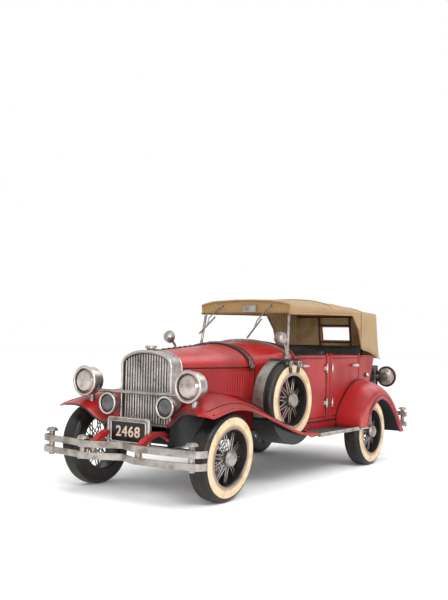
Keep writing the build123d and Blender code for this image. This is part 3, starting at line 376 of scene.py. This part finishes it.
NODE_LOOKS = {
    RED: "hood_top cowl body_tub",
    DOOR_RED: "front_left_door front_right_door rear_left_door rear_right_door",
    HORN_RED: "frame_horns",
    FENDER_RED: "front_fenders",
    REAR_FENDER_RED: "rear_fenders",
    LOUVRE_RED: "hood_sides",
    BLACK: "chassis_rails floor_pan fender_inner_panels trunk trunk_rack steering_wheel steering_column",
    DARK_RED: "top_bows",
    SILVER: "door_hinges running_boards front_left_hub_cap front_right_hub_cap rear_hub_caps spare_hub_caps "
            "spare_bands side_mirrors lamp_bar front_bumper rear_bumper license_plate windshield_frame "
            "wipers tail_lamps",
    DULL_SILVER: "radiator_shell grille_bars radiator_cap",
    DRUM_SILVER: "headlight_shells",
    STEEL: "front_axle motor_frame rear_axle flywheel flywheel_shaft spare_mounts",
    BRASS: "axle_gear idler_gears",
    STRAP: "hood_strap spare_straps",
    LEATHER: "front_seat rear_seat",
    CANVAS: "canvas_top",
    lens_look(): "headlight_lenses",
}
# Each wheel's axle x and z and its distance from the middle, in millimetres, then its tyres and its wires.
WHEELS = {
    "front": (150, 32.2, 61.3, "front_left_tyre front_right_tyre",
              "front_left_wire_wheel front_right_wire_wheel"),
    "rear": (-91, 32, 61.3, "rear_tyres", "rear_wire_wheels"),
    "spare": (57, 68, 58.4, "spare_tyres", "spare_wire_wheels"),
}
for name, (x, z, track, tyres, wires) in WHEELS.items():
    NODE_LOOKS[tyre_look(name + "_tyre_rubber", x, z, track)] = tyres
    NODE_LOOKS[metal(name + "_wire_silver", *SILVERS, special=wheel_shade(x, z, track))] = wires
for look, names in NODE_LOOKS.items():
    for name in names.split():
        nodes[name].data.materials.clear()
        nodes[name].data.materials.append(look)


# ---------------------------------------------------------------- mesh and curve helpers
def settle(obj, material, body="root"):
    """Gives a new piece its finish and its body."""
    obj.data.materials.append(material)
    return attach(obj, body)


def mesh_piece(name, mesh, material, smooth=True):
    """Object from a bmesh, which is freed."""
    bmesh.ops.recalc_face_normals(mesh, faces=mesh.faces)
    data = bpy.data.meshes.new(name)
    mesh.to_mesh(data)
    mesh.free()
    data.shade_smooth() if smooth else data.shade_flat()
    obj = bpy.data.objects.new(name, data)
    bpy.context.scene.collection.objects.link(obj)
    return settle(obj, material)


def tube(name, lines, radius, material, body="root", closed=False):
    """Round beads or wires along lines of points, in one piece."""
    data = bpy.data.curves.new(name, "CURVE")
    data.dimensions = "3D"
    data.bevel_depth = radius * MM
    data.bevel_resolution = 3
    data.use_fill_caps = True
    for line in lines:
        spline = data.splines.new("POLY")
        spline.points.add(len(line) - 1)
        for point, place in zip(spline.points, line):
            point.co = (*place, 1)
        spline.use_cyclic_u = closed
    obj = bpy.data.objects.new(name, data)
    bpy.context.scene.collection.objects.link(obj)
    return settle(obj, material, body)


def lathe(name, profile, centres, axis, material, steps=48):
    """Discs or rings turned about an axis, from (radius, height) points in millimetres."""
    mesh = bmesh.new()
    across = axis.orthogonal().normalized()
    other = axis.cross(across)
    for centre in centres:
        rows = []
        for step in range(steps):
            a = 2 * pi * step / steps
            out = across * cos(a) + other * sin(a)
            rows.append([mesh.verts.new(centre + out * (r * MM) + axis * (h * MM)) for r, h in profile])
        for step in range(steps):
            near, far = rows[step], rows[(step + 1) % steps]
            for i in range(len(profile) - 1):
                mesh.faces.new((near[i], near[i + 1], far[i + 1], far[i]))
    bmesh.ops.remove_doubles(mesh, verts=mesh.verts, dist=1e-6)
    return mesh_piece(name, mesh, material)


def ribbon(name, lines, across, width, thickness, material):
    """Flat straps along lines of points, with their width along across."""
    mesh = bmesh.new()
    half = across.normalized() * (width * MM / 2)
    for line in lines:
        pairs = [(mesh.verts.new(p - half), mesh.verts.new(p + half)) for p in line]
        for (a, b), (c, d) in zip(pairs, pairs[1:]):
            mesh.faces.new((a, b, d, c))
    obj = mesh_piece(name, mesh, material)
    solid = obj.modifiers.new("thickness", "SOLIDIFY")
    solid.thickness = thickness * MM
    solid.offset = 0
    return obj


trees = {}


def cast(name, origin, direction):
    """Where a ray meets a CAD node, or None."""
    if name not in trees:
        data = nodes[name].data
        trees[name] = BVHTree.FromPolygons([v.co for v in data.vertices], [p.vertices for p in data.polygons])
    return trees[name].ray_cast(origin, Vector(direction).normalized())[0]


def line_on(name, origins, direction):
    """Points where parallel rays meet a CAD node."""
    hits = [cast(name, origin, direction) for origin in origins]
    return [hit for hit in hits if hit]


def arch_on(name, x, low=-4, high=184, steps=40, centre_z=84, lift=0.0):
    """Points round an arched node at one x, from its left side over the top to its right."""
    points = []
    for step in range(steps + 1):
        a = radians(low + (high - low) * step / steps)
        out = Vector((0, cos(a), sin(a)))
        hit = cast(name, mm(x, 0, centre_z) + out * 0.12, -out)
        if hit:
            points.append(hit + out * (lift * MM))
    return points


def spread(start, end, count):
    """Numbers evenly spaced from start to end."""
    return [start + (end - start) * i / (count - 1) for i in range(count)]


def flipped(line, side):
    """A line of the left side, mirrored when side is -1."""
    return [Vector((p.x, p.y * side, p.z)) for p in line]


def both_sides(line):
    return [flipped(line, side) for _, side in SIDES]


def smooth_line(points, steps=6):
    """Curve through points given in millimetres."""
    points = [mm(*p) for p in points]
    out = []
    for i in range(len(points) - 1):
        p0, p1 = points[max(i - 1, 0)], points[i]
        p2, p3 = points[i + 1], points[min(i + 2, len(points) - 1)]
        for step in range(steps):
            t = step / steps
            out.append(0.5 * (2 * p1 + (p2 - p0) * t + (2 * p0 - 5 * p1 + 4 * p2 - p3) * t * t
                              + (3 * p1 - p0 - 3 * p2 + p3) * t ** 3))
    return out + [points[-1]]


def stitches(name, lines, length=1.3, gap=0.9, radius=0.14):
    """Rows of short thread stitches along lines."""
    dashes = []
    for line in lines:
        covered = 0.0
        for a, b in zip(line, line[1:]):
            run = (b - a).length / MM
            at = -covered % (length + gap)
            while at + length < run:
                dashes.append([a + (b - a) * (at / run), a + (b - a) * ((at + length) / run)])
                at += length + gap
            covered += run
    return tube(name, dashes, radius, THREAD)


def buckle(name, centre, along, across, length, width):
    """Wire frame buckle with a tongue."""
    a, b = along * (length * MM / 2), across * (width * MM / 2)
    corners = [centre + a + b, centre + a - b, centre - a - b, centre - a + b, centre + a + b]
    return tube(name, [corners, [centre - a, centre + a * 0.9]], 0.32, BRIGHT)


# ---------------------------------------------------------------- body trim
def hood_and_cowl_trim():
    """Centre hinge, side seams and the beads round the hood, scuttle and radiator."""
    xs = spread(151.6, 72.4, 24)
    crest = line_on("hood_top", [mm(x, 0, 140) for x in xs], (0, 0, -1))
    tube("hood_centre_hinge", [crest], 0.75, BEAD)
    knuckles = [[crest[i] + mm(0, 0, 0.25), crest[i] * 0.45 + crest[i + 1] * 0.55 + mm(0, 0, 0.25)]
                for i in range(0, len(crest) - 1, 2)]
    tube("hood_hinge_knuckles", knuckles, 0.85, BLACK)
    seam = line_on("hood_top", [mm(x, 80, 94.15) for x in xs], (0, -1, 0))
    tube("hood_side_seams", both_sides(seam), 0.62, BEAD)
    tube("cowl_rear_bead", [arch_on("cowl", 24.2, -2, 182)], 0.85, BEAD)
    tube("cowl_edge_roll", [arch_on("cowl", 22.6, -14, 194, lift=-0.1)], 0.8, RED)
    tube("hood_rear_bead", [arch_on("cowl", 71.5, -26, 206)], 0.55, BEAD)
    tube("radiator_rear_bead", [arch_on("radiator_shell", 152.5, -30, 210)], 0.7, BRIGHT)
    front = arch_on("radiator_shell", 163.5, -52, 232, 64, 78)
    tube("radiator_front_bead", [front], 0.95, BRIGHT)
    lower = line_on("hood_sides", [mm(x, 80, 63.5) for x in xs], (0, -1, 0))
    tube("hood_lower_beads", both_sides(lower), 0.5, BEAD)
    feet = line_on("hood_sides", [mm(x, 80, 63.6) for x in (116, 108)], (0, -1, 0))
    handle = [p + mm(0, 1.5, 0) for p in feet]
    if len(handle) == 2:
        tube("hood_handles", both_sides([handle[0] - mm(0, 1.5, 0), handle[0], handle[1],
                                         handle[1] - mm(0, 1.5, 0)]), 0.6, BRIGHT)


def fender_trim():
    """Rolled lips and painted lines on the fenders, and the seams where they meet the body."""
    xs = spread(176.5, 22, 48)
    lip = line_on("front_fenders", [mm(x, 71.4, 120) for x in xs], (0, 0, -1))
    tube("front_fender_rolls", both_sides([p + mm(0, 0.5, -0.5) for p in lip]), 1.0, RED)
    line = line_on("front_fenders", [mm(x, 66.2, 120) for x in xs], (0, 0, -1))
    low = [p for p in line if p.z < 0.0755]
    tube("front_fender_lines", both_sides(low), 0.42, BEAD)
    seam = [(-56.8, 47.9, 46.0), (-61.4, 47.9, 54.8), (-70, 47.9, 63.6), (-80, 47.9, 71.2), (-92, 47.9, 77.0),
            (-105, 47.9, 79.7), (-118, 47.5, 78.2), (-131, 47.1, 72.2)]
    tube("rear_fender_seams", both_sides(smooth_line(seam)), 0.6, BEAD)
    arch = [(-74, 72.2, 38.5), (-76.5, 72.2, 46), (-81, 72.2, 51.5), (-88, 72.2, 57), (-96, 72.2, 61),
            (-105, 72.2, 62.8), (-115, 72.2, 61.2), (-127, 72.2, 55.5), (-139, 72.2, 45), (-150, 72.2, 31)]
    tube("rear_fender_rolls", both_sides(smooth_line(arch)), 0.95, RED)
    outer = [(x, 71.2, z + 3.2) for x, _, z in arch[1:]]
    inner = []
    for point in smooth_line(outer):
        hit = cast("rear_fenders", point + mm(0, 30, 0), (0, -1, 0))
        if hit:
            inner.append(hit)
    tube("rear_fender_lines", both_sides(inner), 0.42, BEAD)


def body_trim():
    """Rolled top edge of the tub, pillar beads and sill strips."""
    tail = []
    for step in range(41):
        a = radians(70 + 220 * step / 40)
        out = Vector((cos(a), sin(a) * 0.9, 0)).normalized()
        hit = cast("body_tub", mm(-112, 0, 102.6) + out * 0.15, -out)
        if hit and hit.x < -0.1045:
            tail.append(hit + mm(0, 0, 0.5))
    tube("tail_edge_roll", [tail], 0.9, RED)
    for x in (-37.6, -44.4):
        name = "pillar_bead_front" if x > -40 else "pillar_bead_rear"
        tube(name, both_sides([mm(x, 47.4, 46), mm(x, 47.4, 105.4)]), 1.0, RED)
        edge = x + (1.2 if x > -40 else -1.2)
        tube(name + "_line", both_sides([mm(edge, 47.55, 46), mm(edge, 47.55, 103)]), 0.4, BEAD)
    tube("quarter_beads", both_sides([mm(-106.2, 47.2, 81), mm(-106.2, 47.2, 105.6)]), 0.9, RED)
    tube("quarter_bead_lines", both_sides([mm(-107.3, 47.3, 81), mm(-107.3, 47.3, 103)]), 0.35, BEAD)
    tube("sill_beads", both_sides([mm(21, 47.6, 44.5), mm(-57, 47.6, 44.5)]), 0.6, BEAD)
    knob = [(0, -1.2), (2.0, -1.2), (2.2, 0.2), (1.2, 1.5), (0, 1.9)]
    lathe("body_knobs", knob, [mm(-124, 48.2, 84)], Vector((0, 1, 0)), BRIGHT)
    lathe("body_knob_right", knob, [mm(-124, -48.2, 84)], Vector((0, -1, 0)), BRIGHT)
    doors = (("front", 17.6, -34.9), ("rear", -47.1, -104.2))
    for end, x0, x1 in doors:
        for side, sign in SIDES:
            body = end + "_" + side + "_door_body"
            top = [mm(x, 46.9 * sign, 103.1) for x in (x0, x1)]
            tube(end + "_" + side + "_door_roll", [top], 0.75, RED, body)
            panel = [mm(x0 - 2, 47.65 * sign, 101.2), mm(x1 + 2, 47.65 * sign, 101.2)]
            tube(end + "_" + side + "_door_line", [panel], 0.35, BEAD, body)


def running_board_trim():
    """Ribbed rubber strips with a bright edge."""
    left = [[mm(19.6, y, 38.05), mm(-55.0, y, 38.05)] for y in spread(50.5, 68.5, 9)]
    tube("board_ribs", left + [flipped(line, -1) for line in left], 0.55, BLACK)
    tube("board_edges", both_sides([mm(20.0, 71.6, 38.5), mm(-55.4, 71.6, 38.5)]), 0.6, BRIGHT)


# ---------------------------------------------------------------- lamps, plate and small fittings
def lamp_trim():
    """Bright rings and glass on every lamp."""
    forward = Vector((1, 0, 0))
    ring = [(10.2, -1.0), (11.4, -1.0), (11.9, 0.0), (11.2, 0.9), (10.0, 0.8), (9.5, 0.0), (10.2, -1.0)]
    heads = [mm(177.4, 49.9 * s, 82.3) for _, s in SIDES]
    lathe("headlight_rings", ring, heads, forward, BRIGHT)
    small = [(6.8, -0.6), (8.2, -0.8), (8.5, 0.2), (7.9, 0.8), (6.9, 0.6), (6.5, 0.0), (6.8, -0.6)]
    lows = [mm(175.1, 27.7 * s, 66.4) for _, s in SIDES]
    lathe("driving_lamp_rings", small, lows, forward, BRIGHT)
    lathe("driving_lamp_glass", [(6.9, -0.9), (5.6, 0.1), (3.4, 0.8), (0, 1.1)], lows, forward, GLASS_DARK)
    tails = [mm(-177.5, 46.0 * s, 81.0) for _, s in SIDES]
    rim = [(9.6, -0.9), (10.6, -1.0), (11.0, 0.0), (10.4, 0.9), (9.3, 0.6), (9.6, -0.9)]
    lathe("tail_lamp_rims", rim, tails, Vector((-1, 0, 0)), DARK_RED)
    dome = [(9.2, 2.6), (6.8, 3.8), (3.6, 4.6), (0, 4.9)]
    lathe("tail_lamp_glass", dome, tails, Vector((-1, 0, 0)), DARK_RED)
    glass = [(0, 0.35), (4.6, 0.35), (5.0, 0.1), (5.0, -0.2)]
    mirrors = [mm(63.3, 57.4 * s, 118) for _, s in SIDES]
    lathe("side_mirror_glass", glass, mirrors, Vector((-1, 0, 0)), GLASS_DARK)
    spin = [(3.0, 0.4), (4.2, 0.7), (4.4, 1.2), (3.2, 1.5), (2.6, 1.2), (3.0, 0.4)]
    lathe("radiator_cap_ring", spin, [mm(158.5, 0, 107.9)], Vector((0, 0, 1)), BRIGHT)


def number_plate():
    """Rounded frame, black field and four plain digits."""
    mesh = bmesh.new()
    half_y, half_z, corner = 16.0, 6.9, 1.6
    ring = []
    for cy, cz, start in ((1, 1, 0), (-1, 1, 90), (-1, -1, 180), (1, -1, 270)):
        for step in range(7):
            a = radians(start + 15 * step)
            ring.append((cy * (half_y - corner) + corner * cos(a), cz * (half_z - corner) + corner * sin(a)))
    mesh.faces.new([mesh.verts.new(mm(182.15, y, 47.6 + z)) for y, z in ring])
    mesh_piece("plate_field", mesh, BLACK, smooth=False)
    border = [mm(182.2, y * 1.03, 47.6 + z * 1.07) for y, z in ring]
    tube("plate_border", [border], 0.5, BRIGHT, closed=True)
    outer = [mm(182.0, y * 1.22, 47.6 + z * 1.42) for y, z in ring]
    tube("plate_rim", [outer], 0.55, BRIGHT, closed=True)
    text = bpy.data.curves.new("plate_digits", "FONT")
    text.body = "2468"
    text.size = 10.6 * MM
    text.space_character = 1.12
    text.extrude = 0.35 * MM
    text.bevel_depth = 0.12 * MM
    text.offset = 0.12 * MM
    text.align_x = "CENTER"
    text.align_y = "CENTER"
    obj = bpy.data.objects.new("plate_digits", text)
    bpy.context.scene.collection.objects.link(obj)
    obj.matrix_world = Matrix(((0, 0, 1, 182.3 * MM), (1, 0, 0, 0), (0, 1, 0, 47.4 * MM), (0, 0, 0, 1)))
    settle(obj, CREAM)


def strap_fittings():
    """Buckles on the hood and spare straps, and bands round the trunk."""
    crest = arch_on("hood_strap", 77.0, 20, 160, 28)
    top = crest[len(crest) // 2] + mm(0, 0, 0.5)
    buckle("hood_strap_buckle", top, Vector((0, 1, 0)), Vector((1, 0, 0)), 5.6, 6.0)
    for side, sign in SIDES:
        place = cast("hood_strap", mm(77, 80 * sign, 96.5), (0, -sign, 0)) + mm(0, 0.4 * sign, 0)
        buckle("hood_" + side + "_buckle", place, Vector((0, 0, 1)), Vector((1, 0, 0)), 5.0, 6.0)
        for lean in (-13, 13):
            a = radians(lean)
            out = Vector((sin(a), 0, cos(a)))
            centre = mm(57, 0, 68) + out * (30.2 * MM) + mm(0, 67.9 * sign, 0)
            word = "_front" if lean > 0 else "_rear"
            buckle("spare_" + side + word + "_buckle", centre, out, Vector((cos(a), 0, -sin(a))), 4.2, 4.6)
    loops = []
    for y in (-20, 20):
        loop = [(-156.6, 67), (-156.0, 88), (-155.9, 92), (-157.4, 93.0), (-179.6, 93.0), (-181.1, 92),
                (-181.0, 88), (-180.3, 67)]
        loops.append([mm(x, y, z) for x, z in loop])
    ribbon("trunk_bands", loops, Vector((0, 1, 0)), 4.0, 0.7, SILVER)
    corners = [[mm(x, y, z) for z in (66.4, 92.2)] for x in (-180.2, -156.8) for y in (34.2, -34.2)]
    tube("trunk_corner_beads", corners, 0.8, BLACK)


# ---------------------------------------------------------------- canvas top
TOP = [(31, 46.5, 147.3, 151.6), (0, 47.4, 147.3, 154.6), (-50, 48.4, 147, 156.2), (-82, 48.8, 146.8, 156.0),
       (-107, 49, 146.4, 152.6), (-157, 47.2, 145.8, 148)]          # x, half width, side height, crown height
SIDE_EDGE = [(31, 139.8), (20, 140), (-37, 141.6), (-87.5, 142.7), (-101.9, 128.5), (-107, 115),
             (-108.2, 110.4), (-130, 107), (-156, 100.4)]             # lower edge of the cloth, x, z
REAR_EDGE = [(100.2, -155.2), (131.6, -148.8), (146, -146.6), (160, -146.6)]    # rear line, z, x


def between(table, x):
    """Linear reading of a table of rows that start with x, in falling or rising order."""
    rows = table if table[0][0] < table[-1][0] else table[::-1]
    for a, b in zip(rows, rows[1:]):
        if x <= b[0]:
            break
    t = min(max((x - a[0]) / (b[0] - a[0]), 0), 1)
    return [p + (q - p) * t for p, q in zip(a, b)][1:]


BOWS = (31, -45, -98, -146.6)


def roof_point(x, share):
    """Outer cloth at x; share runs from 0 at the left side's top to 1 at the right's, over the crown."""
    half, side, crown = between(TOP, x)
    a = pi * share
    y = half * cos(a)
    rise = (crown - side) * (1 - abs(y / half) ** 2.6) ** 0.75
    near = min(abs(x - bow) for bow in BOWS)
    sag = 0.75 * min(near / 20, 1) * sin(a)
    ripple = 0.35 * noise.noise(Vector((x / 16, y / 13, 3.1)))
    return Vector((x, y, side + rise - sag + ripple))


def canvas_grid():
    """Mesh of the roof, its side drops and the rear curtain, with the window left open."""
    mesh = bmesh.new()
    xs = spread(31, -107, 47) + spread(-107, -146.6, 16)[1:]
    drop = 12
    rows = []
    for x in xs:
        row = []
        for sign in (1, -1):
            low = between(SIDE_EDGE, x)[0]
            half, side, _ = between(TOP, x)
            column = []
            for k in range(drop):
                z = low + (side - low) * k / drop
                share = max((x + 107) / (-146.6 + 107), 0)
                rear = between(REAR_EDGE, z)[0]
                place = -107 + (rear + 107) * share if share else x
                if share:
                    low_here = between(SIDE_EDGE, place)[0]
                    z = low_here + (side - low_here) * k / drop
                    place = -107 + (between(REAR_EDGE, z)[0] + 107) * share
                flare = 0.5 * sin(pi * k / drop) * noise.noise(Vector((place / 14, z / 14, sign * 5.0)))
                width = between(TOP, place)[0] - 0.35 * (1 - k / drop) + flare
                column.append(mm(place, sign * width, z))
            row.append(column)
        arc = [mm(*roof_point(x, i / 30)) for i in range(31)]
        line = row[0] + arc + row[1][::-1]
        rows.append([mesh.verts.new(p) for p in line])
    for a, b in zip(rows, rows[1:]):
        for i in range(len(a) - 1):
            mesh.faces.new((a[i], a[i + 1], b[i + 1], b[i]))
    last = [v.co / MM for v in rows[-1]]
    sides = last[:drop + 1]
    heights = [p.z for p in sides] + [132.8, 118.0]
    heights = sorted(set(round(z, 3) for z in heights), reverse=True)
    heights = [z for z in heights if z <= 145.95]
    columns = spread(-1, 1, 25)
    back = []
    for z in heights:
        x = between(REAR_EDGE, z)[0]
        half = between(TOP, x)[0] - 0.2
        line = []
        for u in columns:
            y = u * half
            for edge in (-16.5, 16.5):
                if abs(y - edge) < half / 24:
                    y = edge
            belly = 0.5 * noise.noise(Vector((y / 15, z / 12, 9.0))) * (1 - u ** 2)
            line.append(mesh.verts.new(mm(x - belly, y, z)))
        back.append(line)
    for (za, a), (zb, b) in zip(zip(heights, back), zip(heights[1:], back[1:])):
        for i in range(len(a) - 1):
            y0, y1 = a[i].co.y / MM, a[i + 1].co.y / MM
            inside = y0 > -16.6 and y1 < 16.6 and za < 132.9 and zb > 117.9
            if not inside:
                mesh.faces.new((a[i], a[i + 1], b[i + 1], b[i]))
    edge = rows[-1][drop:-drop]
    top_line = back[0]
    for vert in top_line:
        vert.co.z = min(vert.co.z, 0.146)
    for i in range(len(edge) - 1):
        y = (edge[i].co.y + edge[i + 1].co.y) / 2
        nearest = min(top_line, key=lambda v: abs(v.co.y - y))
        mesh.faces.new((edge[i], edge[i + 1], nearest))
    ordered = sorted(top_line, key=lambda v: -v.co.y)
    for a, b in zip(ordered, ordered[1:]):
        y = (a.co.y + b.co.y) / 2
        nearest = min(edge, key=lambda v: abs(v.co.y - y))
        mesh.faces.new((a, b, nearest))
    bmesh.ops.remove_doubles(mesh, verts=mesh.verts, dist=0.0007)
    return mesh


def front_drop():
    """Strip of cloth that hangs from the top's front edge."""
    mesh = bmesh.new()
    rows = []
    for k in range(7):
        t = k / 6
        row = []
        for i in range(41):
            top = roof_point(30.4, i / 40)
            low = Vector((29.4, top.y * 0.995, 140.2))
            wave = 0.5 * noise.noise(Vector((top.y / 9, t * 2, 4))) * sin(pi * t)
            place = top.lerp(low, t) + Vector((wave, 0, 0))
            row.append(mesh.verts.new(mm(*place)))
        rows.append(row)
    for a, b in zip(rows, rows[1:]):
        for i in range(40):
            mesh.faces.new((a[i], a[i + 1], b[i + 1], b[i]))
    valance = mesh_piece("canvas_front_drop", mesh, CANVAS)
    drop_wall = valance.modifiers.new("thickness", "SOLIDIFY")
    drop_wall.thickness = 0.7 * MM
    return valance


def canvas_top():
    """Raised cloth top with hems, seams and a bound window."""
    cloth = mesh_piece("canvas_cloth", canvas_grid(), CANVAS)
    cloth.data.materials.append(LINING)
    centre = Vector((-0.05, 0, 0.12))
    inward = [p for p in cloth.data.polygons if p.normal.dot(p.center - centre) < 0]
    if len(inward) > len(cloth.data.polygons) / 2:
        cloth.data.flip_normals()
    solid = cloth.modifiers.new("thickness", "SOLIDIFY")
    solid.thickness = 0.9 * MM
    solid.offset = -1
    solid.material_offset = 1
    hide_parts("canvas_top")
    left = [mm(x, between(TOP, x)[0] + 0.05, z) for x, z in SIDE_EDGE]
    hem = [a.lerp(b, k / 6) for a, b in zip(left, left[1:]) for k in range(6)] + [left[-1]]
    hems = tube("canvas_hems", both_sides(hem), 0.75, CANVAS)
    front = [mm(*roof_point(30.8, i / 30)) for i in range(31)]
    front_hem = tube("canvas_front_hem", [front], 0.8, CANVAS)
    valance = front_drop()
    tapes = []
    for x in (-45.0, -107.0):
        tapes.append([mm(*(roof_point(x, i / 40) + Vector((0, 0, 0.15)))) for i in range(41)])
    seams = tube("canvas_seams", tapes, 0.6, CANVAS)
    quarter = smooth_line([(-107, 49.1, 146.2), (-107.4, 49.1, 132), (-107.6, 49.0, 116)])
    low_seam = [mm(x, between(TOP, x)[0] + 0.1, 143.6) for x in spread(30.5, -86, 40)]
    side_seams = tube("canvas_side_seams", both_sides(quarter), 0.5, CANVAS)
    rows = both_sides(low_seam) + both_sides([p + mm(1.5, 0.25, 0) for p in quarter])
    for tape in tapes:
        rows += [[p + mm(d, 0, 0.25) for p in tape] for d in (-1.6, 1.6)]
    rows.append([p + mm(-1.8, 0, 0.2) for p in front])
    threads = stitches("canvas_stitches", rows)
    window = [(118.0, 16.5), (118.0, -16.5), (132.8, -16.5), (132.8, 16.5)]
    loop = [mm(between(REAR_EDGE, z)[0], y, z) for z, y in window]
    bound = tube("rear_window_binding", [loop], 0.9, DARK_RED, closed=True)


# ---------------------------------------------------------------- seats
def cushion(name, origin, along, up, size, ribs, tufts):
    """Padded panel: width runs along Y, length along, and it is crowned towards up.

    size is (width, length, thickness) in millimetres, about the origin at its middle."""
    mesh = bmesh.new()
    bmesh.ops.create_cube(mesh, size=2.0)
    bmesh.ops.subdivide_edges(mesh, edges=mesh.edges[:], cuts=39, use_grid_fill=True)
    side = Vector((0, 1, 0))
    along, up = along.normalized(), up.normalized()
    half = [s / 2 for s in size]
    for vert in mesh.verts:
        u, v, w = vert.co
        pinch_u = (1 - 0.10 * abs(w) ** 6) * (1 - 0.025 * (1 - v * v))
        pinch_v = (1 - 0.10 * abs(w) ** 6) * (1 - 0.035 * (1 - u * u))
        edge = (1 - abs(u) ** 8) * (1 - abs(v) ** 8)
        crown = w * (0.68 + 0.32 * edge)
        depth = 0.0
        if w > 0.2:
            fold = 0.0
            if ribs:
                fold = 1 - abs(sin(pi * (u + 1) / 2 * ribs)) ** 0.4
            if tufts:
                a = (u + 1) / 2 * ribs
                b = (v + 1) / 2 * tufts
                diamond = min(abs(sin(pi * (a + b) / 2)), abs(sin(pi * (a - b) / 2)))
                fold = 1 - diamond ** 0.35
            depth = 1.5 * fold * max(edge, 0) * (w - 0.2) / 0.8
        wrinkle = 0.25 * noise.noise(Vector((u * 6, v * 6, w * 2)))
        vert.co = (origin + side * (u * half[0] * pinch_u * MM) + along * (v * half[1] * pinch_v * MM)
                   + up * ((crown * half[2] - depth + wrinkle) * MM))
    piece = mesh_piece(name, mesh, LEATHER)
    subdivide = piece.modifiers.new("soft", "SUBSURF")
    subdivide.levels = subdivide.render_levels = 1
    return piece


def seats():
    """Tufted benches and backs, with buttons, bases and shells."""
    x, z = Vector((1, 0, 0)), Vector((0, 0, 1))
    lean, face = Vector((-0.14, 0, 1)), Vector((1, 0, 0.14))
    places = (
        ("front_seat_cushion", mm(-22.5, 0, 68), x, z, (84, 27, 11), "front_seat"),
        ("front_seat_back", mm(-38.2, 0, 90), lean, face, (84, 35, 8), "front_seat"),
        ("rear_seat_cushion", mm(-99.5, 0, 71.2), x, z, (83, 28, 11), "rear_seat"),
        ("rear_seat_back", mm(-120.5, 0, 95), lean, face, (83, 36, 8), "rear_seat"),
    )
    for name, origin, along, up, size, node in places:
        tufts = 4 if "back" in name else 3
        cushion(name, origin, along, up, size, 10, tufts)
        buttons = []
        side = Vector((0, 1, 0))
        along, up = along.normalized(), up.normalized()
        for i in range(1, 10):
            for j in range(1, tufts):
                if (i + j) % 2 == 0:
                    u, v = i / 5 - 1, 2 * j / tufts - 1
                    buttons.append(origin + side * (u * size[0] / 2 * MM) + along * (v * size[1] / 2 * MM)
                                   + up * ((size[2] / 2 - 1.5) * MM))
        knob = [(1.0, -0.2), (0.9, 0.4), (0.5, 0.7), (0, 0.8)]
        lathe(name + "_buttons", knob, buttons, up, LEATHER, steps=12)
    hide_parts("front_seat")
    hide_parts("rear_seat")
    bases = (("front_seat_base", -34.5, -10.5, 43.2, 62.5, 42.5),
             ("rear_seat_base", -128.5, -86.5, 59.2, 66, 42))
    for name, x0, x1, z0, z1, half in bases:
        mesh = bmesh.new()
        bmesh.ops.create_cube(mesh, size=1.0)
        for vert in mesh.verts:
            u, v, w = (c + 0.5 for c in vert.co)
            vert.co = mm(x0 + (x1 - x0) * u, -half + 2 * half * v, z0 + (z1 - z0) * w)
        bmesh.ops.bevel(mesh, geom=mesh.edges[:], offset=1.6 * MM, segments=3, affect="EDGES")
        mesh_piece(name, mesh, LEATHER)
    shells = (("front_seat_shell", -43.4, 43.4, -43.8, 106.4), ("rear_seat_shell", -129.0, 60, -127.6, 112.6))
    for name, x0, z0, x1, z1 in shells:
        mesh = bmesh.new()
        bmesh.ops.create_cube(mesh, size=1.0)
        for vert in mesh.verts:
            u, v, w = (c + 0.5 for c in vert.co)
            vert.co = mm(x0 + (x1 - x0) * w + 3.2 * u, -42 + 84 * v, z0 + (z1 - z0) * w)
        bmesh.ops.bevel(mesh, geom=mesh.edges[:], offset=1.2 * MM, segments=3, affect="EDGES")
        mesh_piece(name, mesh, LEATHER)


hood_and_cowl_trim()
fender_trim()
body_trim()
running_board_trim()
lamp_trim()
number_plate()
strap_fittings()
canvas_top()
seats()


# ---------------------------------------------------------------- floor, light and camera
def studio():
    """White floor and surroundings, three soft lights and the camera."""
    data = bpy.data.meshes.new("studio_floor")
    size = 6.0
    corners = [(-size, -size, 0), (size, -size, 0), (size, size, 0), (-size, size, 0)]
    data.from_pydata(corners, [], [(0, 1, 2, 3)])
    floor = bpy.data.objects.new("studio_floor", data)
    bpy.context.scene.collection.objects.link(floor)
    white = Look("studio_white", Roughness=0.9)
    cloud = white.band(white.noise(3, 2), 0.3, 0.7, 0.0, 0.2)
    white.colour(white.mix(cloud, (0.99, 0.99, 0.99), (0.985, 0.985, 0.985)))
    floor.data.materials.append(white.material)
    world = bpy.data.worlds.new("studio_world")
    world.use_nodes = True
    world.node_tree.nodes["Background"].inputs["Color"].default_value = (1, 1, 1, 1)
    world.node_tree.nodes["Background"].inputs["Strength"].default_value = 1.0
    bpy.context.scene.world = world
    lights = (
        ("key", (0.9, 1.3, 1.6), 1.0, 24),
        ("low", (1.3, 0.9, 0.3), 0.35, 7),
        ("back", (-1.2, 0.3, 1.4), 1.0, 8),
    )
    for name, place, size, power in lights:
        light = bpy.data.lights.new(name, "AREA")
        light.energy = power
        light.size = size
        lamp = bpy.data.objects.new(name, light)
        lamp.location = place
        lamp.rotation_euler = (Vector((0, 0, 0.06)) - Vector(place)).to_track_quat("-Z", "Y").to_euler()
        bpy.context.scene.collection.objects.link(lamp)
    camera = bpy.data.objects.new("camera", bpy.data.cameras.new("camera"))
    bpy.context.scene.collection.objects.link(camera)
    camera.data.lens = 48.384
    right, up = Vector((-0.5672, 0.8233, 0.0203)), Vector((0.0539, 0.0126, 0.9985))
    back = Vector((0.8218, 0.5675, -0.0515))
    axes = Matrix((right, up, back)).transposed().to_4x4()
    camera.matrix_world = Matrix.Translation((0.6301, 0.3918, 0.1146)) @ axes
    bpy.context.scene.camera = camera
    bpy.context.scene.view_settings.view_transform = "Standard"


studio()
